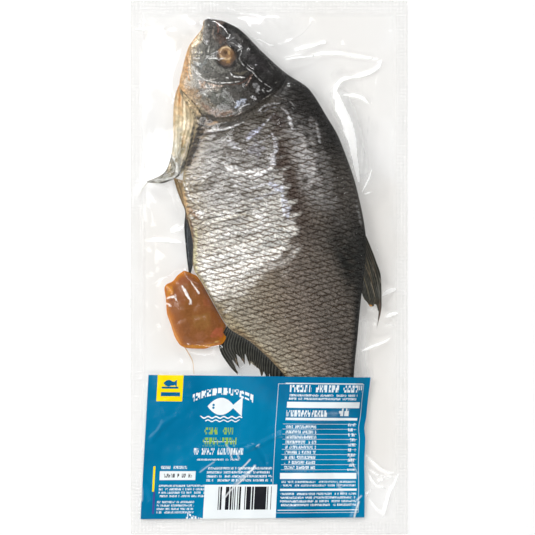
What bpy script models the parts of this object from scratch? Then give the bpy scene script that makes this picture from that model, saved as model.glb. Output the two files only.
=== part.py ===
"""A clear vacuum pack that lies flat, shown side up: one whole dried bream, a piece of its roe
and a printed label, on the bag's moulded sheet.

Units are metres, +Z is up and the head points along +Y. The origin is the middle of the pack's
footprint, on the surface that the pack lies on. The fish has a frame of its own: a station runs
from the snout (0) to the root of the tail fin (1), and an offset runs across it, towards the back
(positive) or the belly (negative). Both are shares of the body's length.
"""

import math

import bmesh
import bpy
import numpy as np

MM = 0.001

# The bag: a sheet that lies on the surface, and rises to meet the edge of what it holds.
BAG_WIDTH = 260 * MM
BAG_LENGTH = 500 * MM
BAG_WALL = 1.2 * MM
BAG_COLUMNS = 24
BAG_ROWS = 44
SEAL_WIDTH = 11.5 * MM
SEAL_STEP = 0.4 * MM
LIFT_SHARE = 0.8  # of the height of the fish's outline
LIFT_REACH = 40 * MM  # outwards from the fish
LIFT_POWER = 4  # how late the sheet rises between the fish's middle line and its outline
LIFT_STATIONS = (0.86, 1.0)  # where the lift fades out towards the tail
BORDER_BLEND = 15 * MM

# The fish.
BODY_LENGTH = 381 * MM
SNOUT = np.array([-59 * MM, 233.5 * MM])
BODY_LEAN = math.radians(18.2)  # from straight down the pack, towards +X
TAIL_BEND = 0.42
TAIL_BEND_START = 0.86
CLEARANCE = 0.6 * MM
UNDERSIDE_SHARE = 0.85  # how thick the lower half is beside the upper one
UNDERSIDE_RELIEF = 0.5
HEAD_STATIONS = 32
BODY_STATIONS = 28
HEAD_END = 0.27
RING_TOP = 18
RING_BOTTOM = 12

# (station, offset) of the outline along the back and the belly.
BACK_LINE = (
    (0.0, 0.012), (0.02, 0.040), (0.053, 0.0705), (0.121, 0.105), (0.188, 0.143), (0.247, 0.187),
    (0.317, 0.205), (0.387, 0.219), (0.478, 0.2225), (0.555, 0.2175), (0.629, 0.2065), (0.70, 0.181),
    (0.777, 0.1455), (0.845, 0.116), (0.94, 0.077), (1.0, 0.060),
)
BELLY_LINE = (
    (0.0, 0.005), (0.021, 0.018), (0.037, 0.041), (0.052, 0.061), (0.073, 0.077), (0.102, 0.095),
    (0.132, 0.112), (0.155, 0.118), (0.18, 0.113), (0.215, 0.107), (0.25, 0.111), (0.295, 0.139),
    (0.343, 0.171), (0.40, 0.191), (0.51, 0.202), (0.577, 0.221), (0.615, 0.212), (0.68, 0.1995),
    (0.735, 0.187), (0.795, 0.142), (0.896, 0.090), (1.0, 0.053),
)
# (station, height) of half the thickness, and of the outline above the surface.
HALF_THICKNESS = (
    (0.0, 4.0 * MM), (0.03, 6.5 * MM), (0.10, 11.0 * MM), (0.20, 15.0 * MM), (0.35, 17.0 * MM),
    (0.48, 16.8 * MM), (0.62, 14.0 * MM), (0.78, 10.0 * MM), (0.90, 7.0 * MM), (1.0, 5.0 * MM),
)
EDGE_HEIGHT = (
    (0.0, 9.5 * MM), (0.10, 13.8 * MM), (0.20, 16.2 * MM), (0.35, 16.4 * MM), (0.48, 16.2 * MM),
    (0.62, 14.2 * MM), (0.78, 11.5 * MM), (0.90, 9.2 * MM), (1.0, 7.8 * MM), (1.25, 5.0 * MM),
)

# The head's relief, as (station, offset), and for the gill cover's rear edge as (offset, station).
GILL_COVER_REAR = (
    (-0.120, 0.135), (-0.105, 0.165), (-0.088, 0.200), (-0.070, 0.223), (-0.043, 0.243), (0.0, 0.251),
    (0.065, 0.238), (0.122, 0.213), (0.145, 0.190),
)
GILL_COVER_STEP = 1.5 * MM
GILL_GROOVE_DEPTH = 1.3 * MM
GILL_GROOVE_WIDTH = 0.009
CHEEK_REAR = 0.173
CHEEK_BOW = 3.8
CHEEK_MIDDLE = 0.035
CHEEK_REACH = 0.115
CHEEK_STEP = 0.9 * MM
EYE = (0.109, 0.017)
EYE_RADIUS = 9.5 * MM
EYE_SOCKET_DEPTH = 1.6 * MM
EYE_PROUD = 1.2 * MM
NOSTRIL = (0.037, 0.036)
NOSTRIL_RADIUS = 3.0 * MM
NOSTRIL_DEPTH = 1.5 * MM
MOUTH = ((0.004, -0.004), (0.0226, -0.014), (0.035, -0.0235), (0.050, -0.0255), (0.062, -0.021))
MOUTH_HALF_WIDTH = 2.2 * MM
MOUTH_DEPTH = 1.8 * MM

# The fins: lines of (station, offset) across the rays, from the root out to the tips.
FIN_LIFT = 2.0 * MM
FIN_HALF_THICKNESS = 0.75 * MM
FIN_WEB_SHARE = 0.45
FIN_ROWS = 5
DORSAL_FIN = (
    ((0.615, 0.196), (0.67, 0.180), (0.725, 0.155), (0.77, 0.133)),
    ((0.718, 0.214), (0.735, 0.194), (0.765, 0.170), (0.783, 0.147)),
    ((0.857, 0.162), (0.806, 0.173), (0.799, 0.164), (0.795, 0.155)),
)
ANAL_FIN = (
    ((0.742, -0.168), (0.81, -0.124), (0.88, -0.088), (0.955, -0.058)),
    ((0.795, -0.206), (0.84, -0.150), (0.90, -0.112), (0.972, -0.073)),
    ((0.858, -0.198), (0.868, -0.160), (0.925, -0.124), (0.99, -0.084)),
)
TAIL_FIN = (
    ((0.985, 0.048), (0.985, 0.016), (0.985, -0.016), (0.985, -0.046)),
    ((1.09, 0.060), (1.06, 0.018), (1.06, -0.020), (1.09, -0.068)),
    ((1.205, 0.047), (1.11, 0.010), (1.11, -0.034), (1.22, -0.098)),
)
PECTORAL_FIN = (
    ((0.140, -0.106), (0.200, -0.096)),
    ((0.172, -0.136), (0.232, -0.106)),
    ((0.213, -0.150), (0.262, -0.114)),
    ((0.295, -0.184), (0.303, -0.141)),
    ((0.335, -0.200), (0.351, -0.183)),
    ((0.338, -0.228), (0.352, -0.222)),
    ((0.335, -0.261), (0.339, -0.265)),
)
PELVIC_FIN = (
    ((0.440, -0.196), (0.452, -0.183)),
    ((0.466, -0.210), (0.473, -0.192)),
    ((0.518, -0.2265), (0.524, -0.211)),
    ((0.563, -0.2385), (0.567, -0.2315)),
)

# The roe: its outline in the pack, from the top round to the left.
ROE_CENTRE = np.array([-70 * MM, -41 * MM])
ROE_OUTLINE = np.array([
    (-77.5, -3.3), (-90.0, -10.5), (-97.8, -20.0), (-95.5, -37.0), (-91.0, -55.8), (-82.0, -72.0),
    (-66.0, -76.6), (-50.0, -74.5), (-40.5, -66.0), (-44.3, -52.0), (-51.5, -34.0), (-62.0, -11.0),
]) * MM
ROE_THICKNESS = 11 * MM
ROE_SPOKES = 30
ROE_RINGS = 6
ROE_GAP = 1.2 * MM
ROE_BED_REACH = 13 * MM  # how far round the roe the sheet still lies low
ROE_RIDE = 3.4 * MM  # how far its corner rides up over the front of the anal fin
ROE_RIDE_REACH = 24 * MM
ROE_RIDE_CENTRE = np.array([-42 * MM, -70 * MM])

# The label: its corners in the pack, from the top left round to the bottom left.
LABEL_CORNERS = np.array([(-113.0, -100.7), (98.3, -103.0), (90.4, -234.4), (-120.5, -236.0)]) * MM
LABEL_THICKNESS = 0.6 * MM
LABEL_COLUMNS = 26
LABEL_ROWS = 16
LABEL_CLEARANCE = 0.9 * MM

DRAPE_CELL = 2.5 * MM
DRAPE_GROWTH = 3
DRAPE_PASSES = 3

BAG_COLOUR = (0.86, 0.85, 0.82, 1)
FISH_COLOUR = (0.20, 0.19, 0.175, 1)
ROE_COLOUR = (0.40, 0.14, 0.035, 1)
LABEL_COLOUR = (0.0, 0.16, 0.36, 1)


def smooth_line(points, at):
    """Values of a smooth line through points, which never swings past them (monotone cubic)."""
    x, y = np.array(points, float).T
    step = np.diff(x)
    slope = np.diff(y) / step
    same_way = slope[:-1] * slope[1:] > 0
    inner = np.zeros(len(same_way))
    inner[same_way] = 2 / (1 / slope[:-1][same_way] + 1 / slope[1:][same_way])
    tangent = np.concatenate([[slope[0]], inner, [slope[-1]]])
    at = np.clip(at, x[0], x[-1])
    i = np.clip(np.searchsorted(x, at, side="right") - 1, 0, len(step) - 1)
    t = (at - x[i]) / step[i]
    start = y[i] * (1 + 2 * t) * (1 - t) ** 2 + tangent[i] * step[i] * t * (1 - t) ** 2
    end = y[i + 1] * t**2 * (3 - 2 * t) - tangent[i + 1] * step[i] * t**2 * (1 - t)
    return start + end


def smooth_row(points, at):
    """Points along a smooth line through a row of points, for shares of the row from 0 to 1."""
    run = np.linspace(0, 1, len(points))
    return np.column_stack([smooth_line(np.column_stack([run, values]), at) for values in np.transpose(points)])


def smooth_step(low, high, x):
    t = np.clip((x - low) / (high - low), 0, 1)
    return t * t * (3 - 2 * t)


def soft_bump(x):
    """1 at 0, falling to exactly 0 at 1 and beyond."""
    return np.maximum(0, 1 - np.square(x)) ** 2


ALONG = np.array([math.sin(BODY_LEAN), -math.cos(BODY_LEAN)])
ACROSS = np.array([math.cos(BODY_LEAN), math.sin(BODY_LEAN)])


def spine_sway(station):
    """How far the tail swings towards the belly."""
    return -TAIL_BEND * np.square(np.maximum(0, station - TAIL_BEND_START))


def to_pack(station, offset):
    """Places in the pack of points in the fish's frame."""
    station = np.asarray(station, float)
    offset = offset + spine_sway(station)
    return SNOUT + BODY_LENGTH * (station[..., None] * ALONG + offset[..., None] * ACROSS)


def to_fish(places):
    """(stations, offsets) of places in the pack."""
    rel = (np.asarray(places, float) - SNOUT) / BODY_LENGTH
    station = rel @ ALONG
    return station, rel @ ACROSS - spine_sway(station)


def half_width(station, offset):
    return np.where(offset >= 0, smooth_line(BACK_LINE, station), smooth_line(BELLY_LINE, station))


def section(share):
    """Thickness across the body, from 1 at the middle line (share 0) to 0 at its edge (1 or -1)."""
    power = np.where(share >= 0, 2.5, 2.1)
    return np.maximum(0, 1 - np.abs(share) ** power) ** 0.72


def distance_to_line(points, at):
    """Distance from each place to an open line of straight runs, in the points' own units."""
    points, best = np.array(points, float), np.inf
    for a, b in zip(points[:-1], points[1:]):
        run = b - a
        t = np.clip(((at - a) @ run) / (run @ run), 0, 1)
        best = np.minimum(best, np.linalg.norm(at - a - t[..., None] * run, axis=-1))
    return best


def head_relief(station, offset):
    """Height added to the body by the gill cover, cheek, eye socket, nostril and mouth."""
    at = np.stack(np.broadcast_arrays(station, offset), -1)
    behind = station - smooth_line(GILL_COVER_REAR, offset)
    cover = GILL_COVER_STEP * smooth_step(0.010, -0.002, behind) * smooth_step(0.05, 0.16, station)
    groove = -GILL_GROOVE_DEPTH * soft_bump((behind - 0.010) / GILL_GROOVE_WIDTH)
    cheek_rear = CHEEK_REAR - CHEEK_BOW * (offset - CHEEK_MIDDLE) ** 2
    cheek = CHEEK_STEP * smooth_step(0.008, -0.002, station - cheek_rear) * smooth_step(0.04, 0.10, station)
    cheek = cheek * soft_bump((offset - CHEEK_MIDDLE / 2) / CHEEK_REACH)
    socket = -EYE_SOCKET_DEPTH * soft_bump(np.linalg.norm(at - EYE, axis=-1) * BODY_LENGTH / (1.35 * EYE_RADIUS))
    nostril = -NOSTRIL_DEPTH * soft_bump(np.linalg.norm(at - NOSTRIL, axis=-1) * BODY_LENGTH / NOSTRIL_RADIUS)
    mouth = -MOUTH_DEPTH * soft_bump(distance_to_line(MOUTH, at) * BODY_LENGTH / MOUTH_HALF_WIDTH)
    return cover + groove + cheek + socket + nostril + mouth


def body_thickness(station, offset):
    """Thickness above the outline's height, without relief, and how far in from the edge a place is (0 to 1)."""
    share = np.clip(offset / half_width(station, offset), -1, 1)
    return smooth_line(HALF_THICKNESS, station) * section(share), smooth_step(0, 0.35, section(share))


def body_top(station, offset):
    thickness, inwards = body_thickness(station, offset)
    return smooth_line(EDGE_HEIGHT, station) + thickness + head_relief(station, offset) * inwards


def body_bottom(station, offset):
    thickness, inwards = body_thickness(station, offset)
    plain = smooth_line(EDGE_HEIGHT, station) - UNDERSIDE_SHARE * thickness
    return plain - UNDERSIDE_RELIEF * head_relief(station, offset) * inwards


def body_outline():
    """The body's outline in the pack, as places and the stations that they belong to."""
    stations = np.linspace(0, 1, 60)
    back = to_pack(stations, smooth_line(BACK_LINE, stations))
    belly = to_pack(stations, -smooth_line(BELLY_LINE, stations))
    return np.concatenate([back, belly[::-1]]), np.concatenate([stations, stations[::-1]])


OUTLINE, OUTLINE_STATIONS = body_outline()


def nearest_outline(places):
    """Distance from each place to the body's outline, and the station there."""
    gaps = np.linalg.norm(places[..., None, :] - OUTLINE, axis=-1)
    return gaps.min(-1), OUTLINE_STATIONS[gaps.argmin(-1)]


def inside_body(station, offset):
    return (station > 0) & (station < 1) & (np.abs(offset) < half_width(station, offset))


def roe_reach(places):
    """Distance of each place from the roe's centre, as a share of the outline's distance that way,
    and that distance."""
    rel = places - ROE_CENTRE
    spokes = ROE_OUTLINE - ROE_CENTRE
    turns = np.arctan2(spokes[:, 1], spokes[:, 0])
    order = np.argsort(turns)
    radii = np.interp(
        np.arctan2(rel[..., 1], rel[..., 0]), turns[order], np.linalg.norm(spokes, axis=1)[order], period=2 * math.pi
    )
    return np.linalg.norm(rel, axis=-1) / radii, radii


def sheet_top(places):
    """Height of the sheet's upper face: flat at the border and beneath the roe, raised round the fish."""
    places = np.asarray(places, float)
    gap, nearest = nearest_outline(places)
    station, offset = to_fish(places)
    share = np.abs(offset) / half_width(station, offset)
    lift = np.where(inside_body(station, offset), share**LIFT_POWER, soft_bump(gap / LIFT_REACH))
    lift = lift * LIFT_SHARE * (smooth_line(EDGE_HEIGHT, nearest) - BAG_WALL)
    lift = lift * (1 - smooth_step(*LIFT_STATIONS, nearest))
    rim = np.minimum(BAG_WIDTH / 2 - np.abs(places[..., 0]), BAG_LENGTH / 2 - np.abs(places[..., 1]))
    calm = smooth_step(SEAL_WIDTH, SEAL_WIDTH + BORDER_BLEND, rim)
    reach, radius = roe_reach(places)
    beyond_roe = smooth_step(0, ROE_BED_REACH, (reach - 1) * radius)
    return BAG_WALL - SEAL_STEP * (rim < SEAL_WIDTH) + lift * calm * beyond_roe


def material(name, colour, roughness, alpha=1.0):
    made = bpy.data.materials.new(name)
    made.use_nodes = True
    shader = made.node_tree.nodes["Principled BSDF"]
    shader.inputs["Base Color"].default_value = colour
    shader.inputs["Roughness"].default_value = roughness
    shader.inputs["Metallic"].default_value = 0.0
    shader.inputs["Alpha"].default_value = alpha
    return made


def object_from(bm, name, finish):
    bmesh.ops.recalc_face_normals(bm, faces=bm.faces[:])
    mesh = bpy.data.meshes.new(name)
    bm.to_mesh(mesh)
    bm.free()
    mesh.shade_smooth()
    mesh.set_sharp_from_angle(angle=math.radians(50))
    mesh.materials.append(finish)
    made = bpy.data.objects.new(name, mesh)
    bpy.context.scene.collection.objects.link(made)
    return made


def plate(bm, upper, lower):
    """A closed thin solid between two grids of points, each a list of equal rows."""
    upper, lower = ([[bm.verts.new(point) for point in row] for row in grid] for grid in (upper, lower))
    for grid, turn in ((upper, 1), (lower, -1)):
        for near, far in zip(grid[:-1], grid[1:]):
            for i in range(len(near) - 1):
                bm.faces.new((near[i], near[i + 1], far[i + 1], far[i])[::turn])
    rims = [
        grid[0] + [row[-1] for row in grid[1:-1]] + grid[-1][::-1] + [row[0] for row in grid[-2:0:-1]]
        for grid in (upper, lower)
    ]
    for i, above in enumerate(rims[0]):
        j = (i + 1) % len(rims[0])
        bm.faces.new((above, rims[1][i], rims[1][j], rims[0][j]))


def bag_lines(length, cells):
    """Where the sheet's grid lines lie along one side, with a narrow step at the inner edge of each seal."""
    seal_edge = length / 2 - SEAL_WIDTH
    inner = np.linspace(-seal_edge + SEAL_STEP, seal_edge - SEAL_STEP, cells + 1)
    edges = np.array([length / 2, seal_edge + SEAL_STEP])
    return np.concatenate([-edges, inner, edges[::-1]])


def make_bag(finish):
    bm = bmesh.new()
    across, along = bag_lines(BAG_WIDTH, BAG_COLUMNS), bag_lines(BAG_LENGTH, BAG_ROWS)
    places = np.stack(np.meshgrid(across, along, indexing="ij"), -1)
    top = np.dstack([places, sheet_top(places)])
    under = np.dstack([places, np.maximum(0, top[..., 2] - BAG_WALL)])
    plate(bm, top, under)
    return object_from(bm, "film_bag", finish)


def body_ring(station):
    """One cross-section of the body, from the belly's edge over the top to the back and round under."""
    over = -np.cos(np.linspace(0, math.pi, RING_TOP + 1))
    under = np.cos(np.linspace(0, math.pi, RING_BOTTOM + 1))[1:-1]
    offsets = [share * half_width(station, share) for share in (over, under)]
    heights = [body_top(station, offsets[0]), body_bottom(station, offsets[1])]
    offset, height = np.concatenate(offsets), np.concatenate(heights)
    return np.column_stack([to_pack(np.full(len(offset), station), offset), height])


def make_body(finish):
    """The body without its fins: cross-sections joined with quads, closed at both ends."""
    bm = bmesh.new()
    head = np.linspace(0, HEAD_END, HEAD_STATIONS, endpoint=False)
    rest = np.linspace(HEAD_END, 1, BODY_STATIONS)
    rings = [[bm.verts.new(point) for point in body_ring(station)] for station in np.concatenate([head, rest])]
    for near, far in zip(rings[:-1], rings[1:]):
        for i in range(len(near)):
            j = (i + 1) % len(near)
            bm.faces.new((near[i], near[j], far[j], far[i]))
    ends = [bm.faces.new(rings[0]), bm.faces.new(rings[-1])]
    bmesh.ops.triangulate(bm, faces=ends)
    return object_from(bm, "fish", finish)


def make_eye(name, height, relief, finish):
    """The dried eye: a low dome that sits in its socket."""
    bm = bmesh.new()
    bmesh.ops.create_uvsphere(bm, u_segments=14, v_segments=8, radius=EYE_RADIUS)
    flatten = relief * (EYE_SOCKET_DEPTH + EYE_PROUD) / EYE_RADIUS
    x, y = to_pack(*EYE)
    for vert in bm.verts:
        vert.co = (x + vert.co.x, y + vert.co.y, height + vert.co.z * flatten)
    return object_from(bm, name, finish)


def make_fin(name, lines, rays, notch, finish):
    """A fin over lines of (station, offset), from its root out to its tips: thick at each ray, and
    in the web between thinner, and shorter by the notch, a share of its length."""
    bm = bmesh.new()
    columns = np.linspace(0, 1, 2 * rays + 1)
    web = np.arange(len(columns)) % 2 == 1
    controls = np.stack([smooth_row(line, columns) for line in lines])
    root_height = smooth_line(EDGE_HEIGHT, controls[0][:, 0])
    upper, lower = [], []
    for row in range(FIN_ROWS + 1):
        reach = np.full(len(columns), row / FIN_ROWS) - notch * web * (row == FIN_ROWS)
        points = np.stack([smooth_row(controls[:, i], reach[i : i + 1])[0] for i in range(len(columns))])
        places = to_pack(points[:, 0], points[:, 1])
        rest = sheet_top(places) + FIN_LIFT
        middle = rest + np.maximum(0, root_height - rest) * (1 - reach) ** 3
        half = FIN_HALF_THICKNESS * np.where(web, FIN_WEB_SHARE, 1) * (1 - 0.5 * reach)
        upper.append(np.column_stack([places, middle + half]))
        lower.append(np.column_stack([places, middle - half]))
    plate(bm, upper, lower)
    return object_from(bm, name, finish)


def join_into(body, others):
    """Fuses the other objects into the body, and removes them."""
    group = bpy.data.collections.new("fused")
    bpy.context.scene.collection.children.link(group)
    for other in others:
        group.objects.link(other)
        bpy.context.scene.collection.objects.unlink(other)
    union = body.modifiers.new("fused", "BOOLEAN")
    union.operation = "UNION"
    union.operand_type = "COLLECTION"
    union.solver = "MANIFOLD"  # EXACT leaves edges with four faces on the thin fins
    union.collection = group
    bpy.context.view_layer.update()
    fused = bpy.data.meshes.new_from_object(body.evaluated_get(bpy.context.evaluated_depsgraph_get()))
    body.modifiers.clear()
    body.data = fused
    for other in others:
        bpy.data.objects.remove(other)
    bpy.data.collections.remove(group)


def make_fish(finish):
    body = make_body(finish)
    parts = [
        make_fin("dorsal_fin", DORSAL_FIN, 9, 0.10, finish),
        make_fin("anal_fin", ANAL_FIN, 14, 0.14, finish),
        make_fin("tail_fin", TAIL_FIN, 12, 0.08, finish),
        make_fin("pectoral_fin", PECTORAL_FIN, 3, 0, finish),
        make_fin("pelvic_fin", PELVIC_FIN, 2, 0, finish),
        make_eye("eye", float(body_top(*EYE)), 1, finish),
        make_eye("far_eye", float(body_bottom(*EYE)), UNDERSIDE_RELIEF, finish),
    ]
    join_into(body, parts)
    return body


def clear_of_body(places, margin):
    """The same places, with any on the belly side that lie in the body moved out past its edge."""
    station, offset = to_fish(places)
    least = half_width(station, offset) + margin / BODY_LENGTH
    return to_pack(station, np.minimum(offset, -least))


def make_roe(finish):
    """A flat lump with round edges, which lies on the sheet against the belly."""
    bm = bmesh.new()
    closed = np.vstack([ROE_OUTLINE, ROE_OUTLINE[:1]])
    rim = smooth_row(closed, np.linspace(0, 1, ROE_SPOKES, endpoint=False))
    upper, lower = [], []
    for ring in range(1, ROE_RINGS + 1):
        share = math.sin(0.5 * math.pi * ring / ROE_RINGS)
        places = clear_of_body(ROE_CENTRE + (rim - ROE_CENTRE) * share, ROE_GAP)
        ride = ROE_RIDE * soft_bump(np.linalg.norm(places - ROE_RIDE_CENTRE, axis=-1) / ROE_RIDE_REACH)
        base = BAG_WALL + CLEARANCE + ride
        edge = base + 0.35 * ROE_THICKNESS
        crown = edge + (0.65 * ROE_THICKNESS - ride) * (1 - share**4)
        upper.append([bm.verts.new((*place, z)) for place, z in zip(places, crown)])
        if ring < ROE_RINGS:
            keel = base + (edge - base) * share**8
            lower.append([bm.verts.new((*place, z)) for place, z in zip(places, keel)])
    lower.append(upper[-1])
    for rings, turn in ((upper, 1), (lower, -1)):
        for inner, outer in zip(rings[:-1], rings[1:]):
            for i in range(ROE_SPOKES):
                j = (i + 1) % ROE_SPOKES
                bm.faces.new((inner[i], outer[i], outer[j], inner[j])[::turn])
        bm.faces.new(rings[0][::turn])
    bmesh.ops.triangulate(bm, faces=[face for face in bm.faces if len(face.verts) > 4])
    return object_from(bm, "roe", finish)


def drape_over(fish):
    """A function for the height of a sheet laid over the fish and the bag: the highest point near
    each place, smoothed."""
    across = np.arange(-BAG_WIDTH / 2, BAG_WIDTH / 2 + DRAPE_CELL / 2, DRAPE_CELL)
    along = np.arange(-BAG_LENGTH / 2, BAG_LENGTH / 2 + DRAPE_CELL / 2, DRAPE_CELL)
    places = np.stack(np.meshgrid(across, along, indexing="ij"), -1)
    heights = sheet_top(places)
    for vert in fish.data.vertices:
        i = round((vert.co.x - across[0]) / DRAPE_CELL)
        j = round((vert.co.y - along[0]) / DRAPE_CELL)
        heights[i, j] = max(heights[i, j], vert.co.z)
    station, offset = to_fish(places)
    within = inside_body(station, offset)
    heights[within] = np.maximum(heights[within], body_top(station[within], offset[within]))

    def from_neighbours(grid, combine):
        padded = np.pad(grid, 1, mode="edge")
        near = [padded[i : i + grid.shape[0], j : j + grid.shape[1]] for i in range(3) for j in range(3)]
        return combine(near, axis=0)

    for _ in range(DRAPE_GROWTH):
        heights = from_neighbours(heights, np.max)
    for _ in range(DRAPE_PASSES):
        heights = from_neighbours(heights, np.mean)

    def height_at(at):
        cell = np.clip((at - (across[0], along[0])) / DRAPE_CELL, 0, np.array(heights.shape) - 1.001)
        (i, j), (tx, ty) = cell.astype(int).T, (cell % 1).T
        near = heights[i, j] * (1 - tx) + heights[i + 1, j] * tx
        far = heights[i, j + 1] * (1 - tx) + heights[i + 1, j + 1] * tx
        return near * (1 - ty) + far * ty

    return height_at


def make_label(drape, finish):
    """A thin sheet between its four corners, draped over the tail."""
    bm = bmesh.new()
    top_left, top_right, bottom_right, bottom_left = LABEL_CORNERS
    across = np.linspace(0, 1, LABEL_COLUMNS + 1)[:, None]
    lower, upper = [], []
    for up in np.linspace(0, 1, LABEL_ROWS + 1):
        left, right = bottom_left + (top_left - bottom_left) * up, bottom_right + (top_right - bottom_right) * up
        places = left + (right - left) * across
        height = drape(places) + LABEL_CLEARANCE
        lower.append(np.column_stack([places, height]))
        upper.append(np.column_stack([places, height + LABEL_THICKNESS]))
    plate(bm, upper, lower)
    return object_from(bm, "label", finish)


def main():
    for existing in list(bpy.data.objects):
        bpy.data.objects.remove(existing)
    make_bag(material("clear_film", BAG_COLOUR, 0.15, alpha=0.35))
    fish = make_fish(material("dried_skin", FISH_COLOUR, 0.35))
    make_roe(material("dried_roe", ROE_COLOUR, 0.30))
    make_label(drape_over(fish), material("printed_label", LABEL_COLOUR, 0.35))


main()
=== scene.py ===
"""Looks of a clear vacuum pack: one whole dried bream, a piece of its roe and a printed label.

Units are metres, +Z is up and the head points along +Y, as in the frame. The fish has a frame of its
own: a station runs from the snout (0) to the root of the tail fin (1), and an offset runs across it,
towards the back (positive) or the belly (negative), both as shares of the body's length. Fins, roe,
print and marks are placed by pixels of the photograph, which looks straight down. The third value of a
call of ripples is the seed of its noise.
"""

import math
from functools import reduce

import bpy
import numpy as np
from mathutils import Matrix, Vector
from mathutils.bvhtree import BVHTree


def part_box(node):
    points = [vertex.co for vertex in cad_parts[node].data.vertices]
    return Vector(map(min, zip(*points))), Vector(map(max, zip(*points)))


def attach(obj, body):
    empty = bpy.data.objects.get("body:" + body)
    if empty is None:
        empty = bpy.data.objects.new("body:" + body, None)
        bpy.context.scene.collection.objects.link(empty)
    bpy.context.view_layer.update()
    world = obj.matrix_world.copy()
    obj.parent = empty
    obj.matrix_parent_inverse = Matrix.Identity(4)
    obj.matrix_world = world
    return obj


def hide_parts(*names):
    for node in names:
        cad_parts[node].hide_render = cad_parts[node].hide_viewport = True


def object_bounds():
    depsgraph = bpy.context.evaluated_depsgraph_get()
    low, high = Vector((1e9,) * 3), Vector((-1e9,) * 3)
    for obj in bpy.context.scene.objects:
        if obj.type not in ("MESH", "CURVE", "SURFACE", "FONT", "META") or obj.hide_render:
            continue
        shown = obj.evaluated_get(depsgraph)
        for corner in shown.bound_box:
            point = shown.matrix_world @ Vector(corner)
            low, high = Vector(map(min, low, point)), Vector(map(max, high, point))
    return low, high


MM = 0.001
PIXEL = 0.938 * MM  # what one pixel of the photograph shows of the pack
PHOTO_MIDDLE = np.array([269.0, 267.5])  # the pixel over the pack's middle
PHOTO_PIXELS = 535  # along each of its sides

# The fish, as in the solid that it stands for.
BODY_LENGTH = 381 * MM
SNOUT = np.array([-59 * MM, 233.5 * MM])
BODY_LEAN = math.radians(18.2)
TAIL_BEND = 0.42
TAIL_BEND_START = 0.86
UNDERSIDE_SHARE = 0.85
UNDERSIDE_RELIEF = 0.5
BACK_LINE = (
    (0.0, 0.0015), (0.0024, 0.0055), (0.0075, 0.0160), (0.018, 0.0355), (0.030, 0.050), (0.053, 0.0705),
    (0.121, 0.105), (0.188, 0.143), (0.247, 0.187), (0.317, 0.205), (0.387, 0.219), (0.478, 0.2225),
    (0.555, 0.2175), (0.629, 0.2065), (0.70, 0.181), (0.777, 0.1455), (0.845, 0.116), (0.94, 0.077),
    (1.0, 0.060),
)
BELLY_LINE = (
    (0.0, 0.0015), (0.0024, 0.0045), (0.0055, 0.0085), (0.021, 0.018), (0.037, 0.041), (0.052, 0.061),
    (0.073, 0.077), (0.102, 0.095), (0.132, 0.112), (0.155, 0.118), (0.18, 0.113), (0.215, 0.107),
    (0.25, 0.111), (0.295, 0.139), (0.343, 0.171), (0.40, 0.191), (0.51, 0.202), (0.577, 0.221),
    (0.615, 0.212), (0.68, 0.1995), (0.735, 0.187), (0.795, 0.142), (0.896, 0.090), (1.0, 0.053),
)
HALF_THICKNESS = (
    (0.0, 4.0 * MM), (0.03, 6.5 * MM), (0.10, 11.0 * MM), (0.20, 15.0 * MM), (0.35, 17.0 * MM),
    (0.48, 16.8 * MM), (0.62, 14.0 * MM), (0.78, 10.0 * MM), (0.90, 7.0 * MM), (1.0, 5.0 * MM),
)
EDGE_HEIGHT = (
    (0.0, 9.5 * MM), (0.10, 13.8 * MM), (0.20, 16.2 * MM), (0.35, 16.4 * MM), (0.48, 16.2 * MM),
    (0.62, 14.2 * MM), (0.78, 11.5 * MM), (0.90, 9.2 * MM), (1.0, 7.8 * MM), (1.25, 5.0 * MM),
)
GILL_COVER_REAR = (
    (-0.120, 0.135), (-0.105, 0.165), (-0.088, 0.200), (-0.070, 0.223), (-0.043, 0.243), (0.0, 0.251),
    (0.065, 0.238), (0.122, 0.213), (0.145, 0.190),
)
GILL_COVER_STEP = 1.5 * MM
GILL_GROOVE_DEPTH = 1.3 * MM
GILL_GROOVE_WIDTH = 0.009
CHEEK_REAR = 0.173
CHEEK_BOW = 3.8
CHEEK_MIDDLE = 0.035
CHEEK_REACH = 0.115
CHEEK_STEP = 0.9 * MM
EYE = (0.1065, 0.0175)
EYE_RADIUS = 9.5 * MM
EYE_SOCKET_DEPTH = 1.6 * MM
EYE_PROUD = 1.2 * MM
EYE_LIFT = 1.1 * MM
NOSTRIL = (0.035, 0.040)
NOSTRIL_RADIUS = 3.0 * MM
NOSTRIL_DEPTH = 1.5 * MM
MOUTH = ((0.004, -0.004), (0.0226, -0.014), (0.035, -0.0235), (0.050, -0.0255), (0.062, -0.021))
MOUTH_HALF_WIDTH = 1.6 * MM
MOUTH_DEPTH = 1.6 * MM

BODY_PARTS = (  # name, first and last station, cross-sections, columns above and beneath
    ("bream_head", (0.0035, 0.262), 240, 280, 60),
    ("bream_flank", (0.262, 1.0), 356, 216, 48),
)
NOSE_RINGS = 8
NOSE_REACH = 0.0008
SCALE_ROW = 2.69 * MM  # along the body, from one row of scales to the next
SCALE_WIDTH = 16.2 * MM
SCALE_LEAN = 0.415  # how far along the body a row of scales runs, for each step across it
SCALE_SLIP = 0.11  # and how far across a file of scales runs, for each step along
SCALE_RELIEF = 0.35 * MM
EYE_RINGS = 26
EYE_SIDES = 72
EYE_POLE = 0.04  # angle left open at its poles

FIN_LIFT = 2.0 * MM  # of a fin or a thread over the sheet
COLUMNS_PER_RAY = 6
THREAD_RINGS = 20

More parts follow.
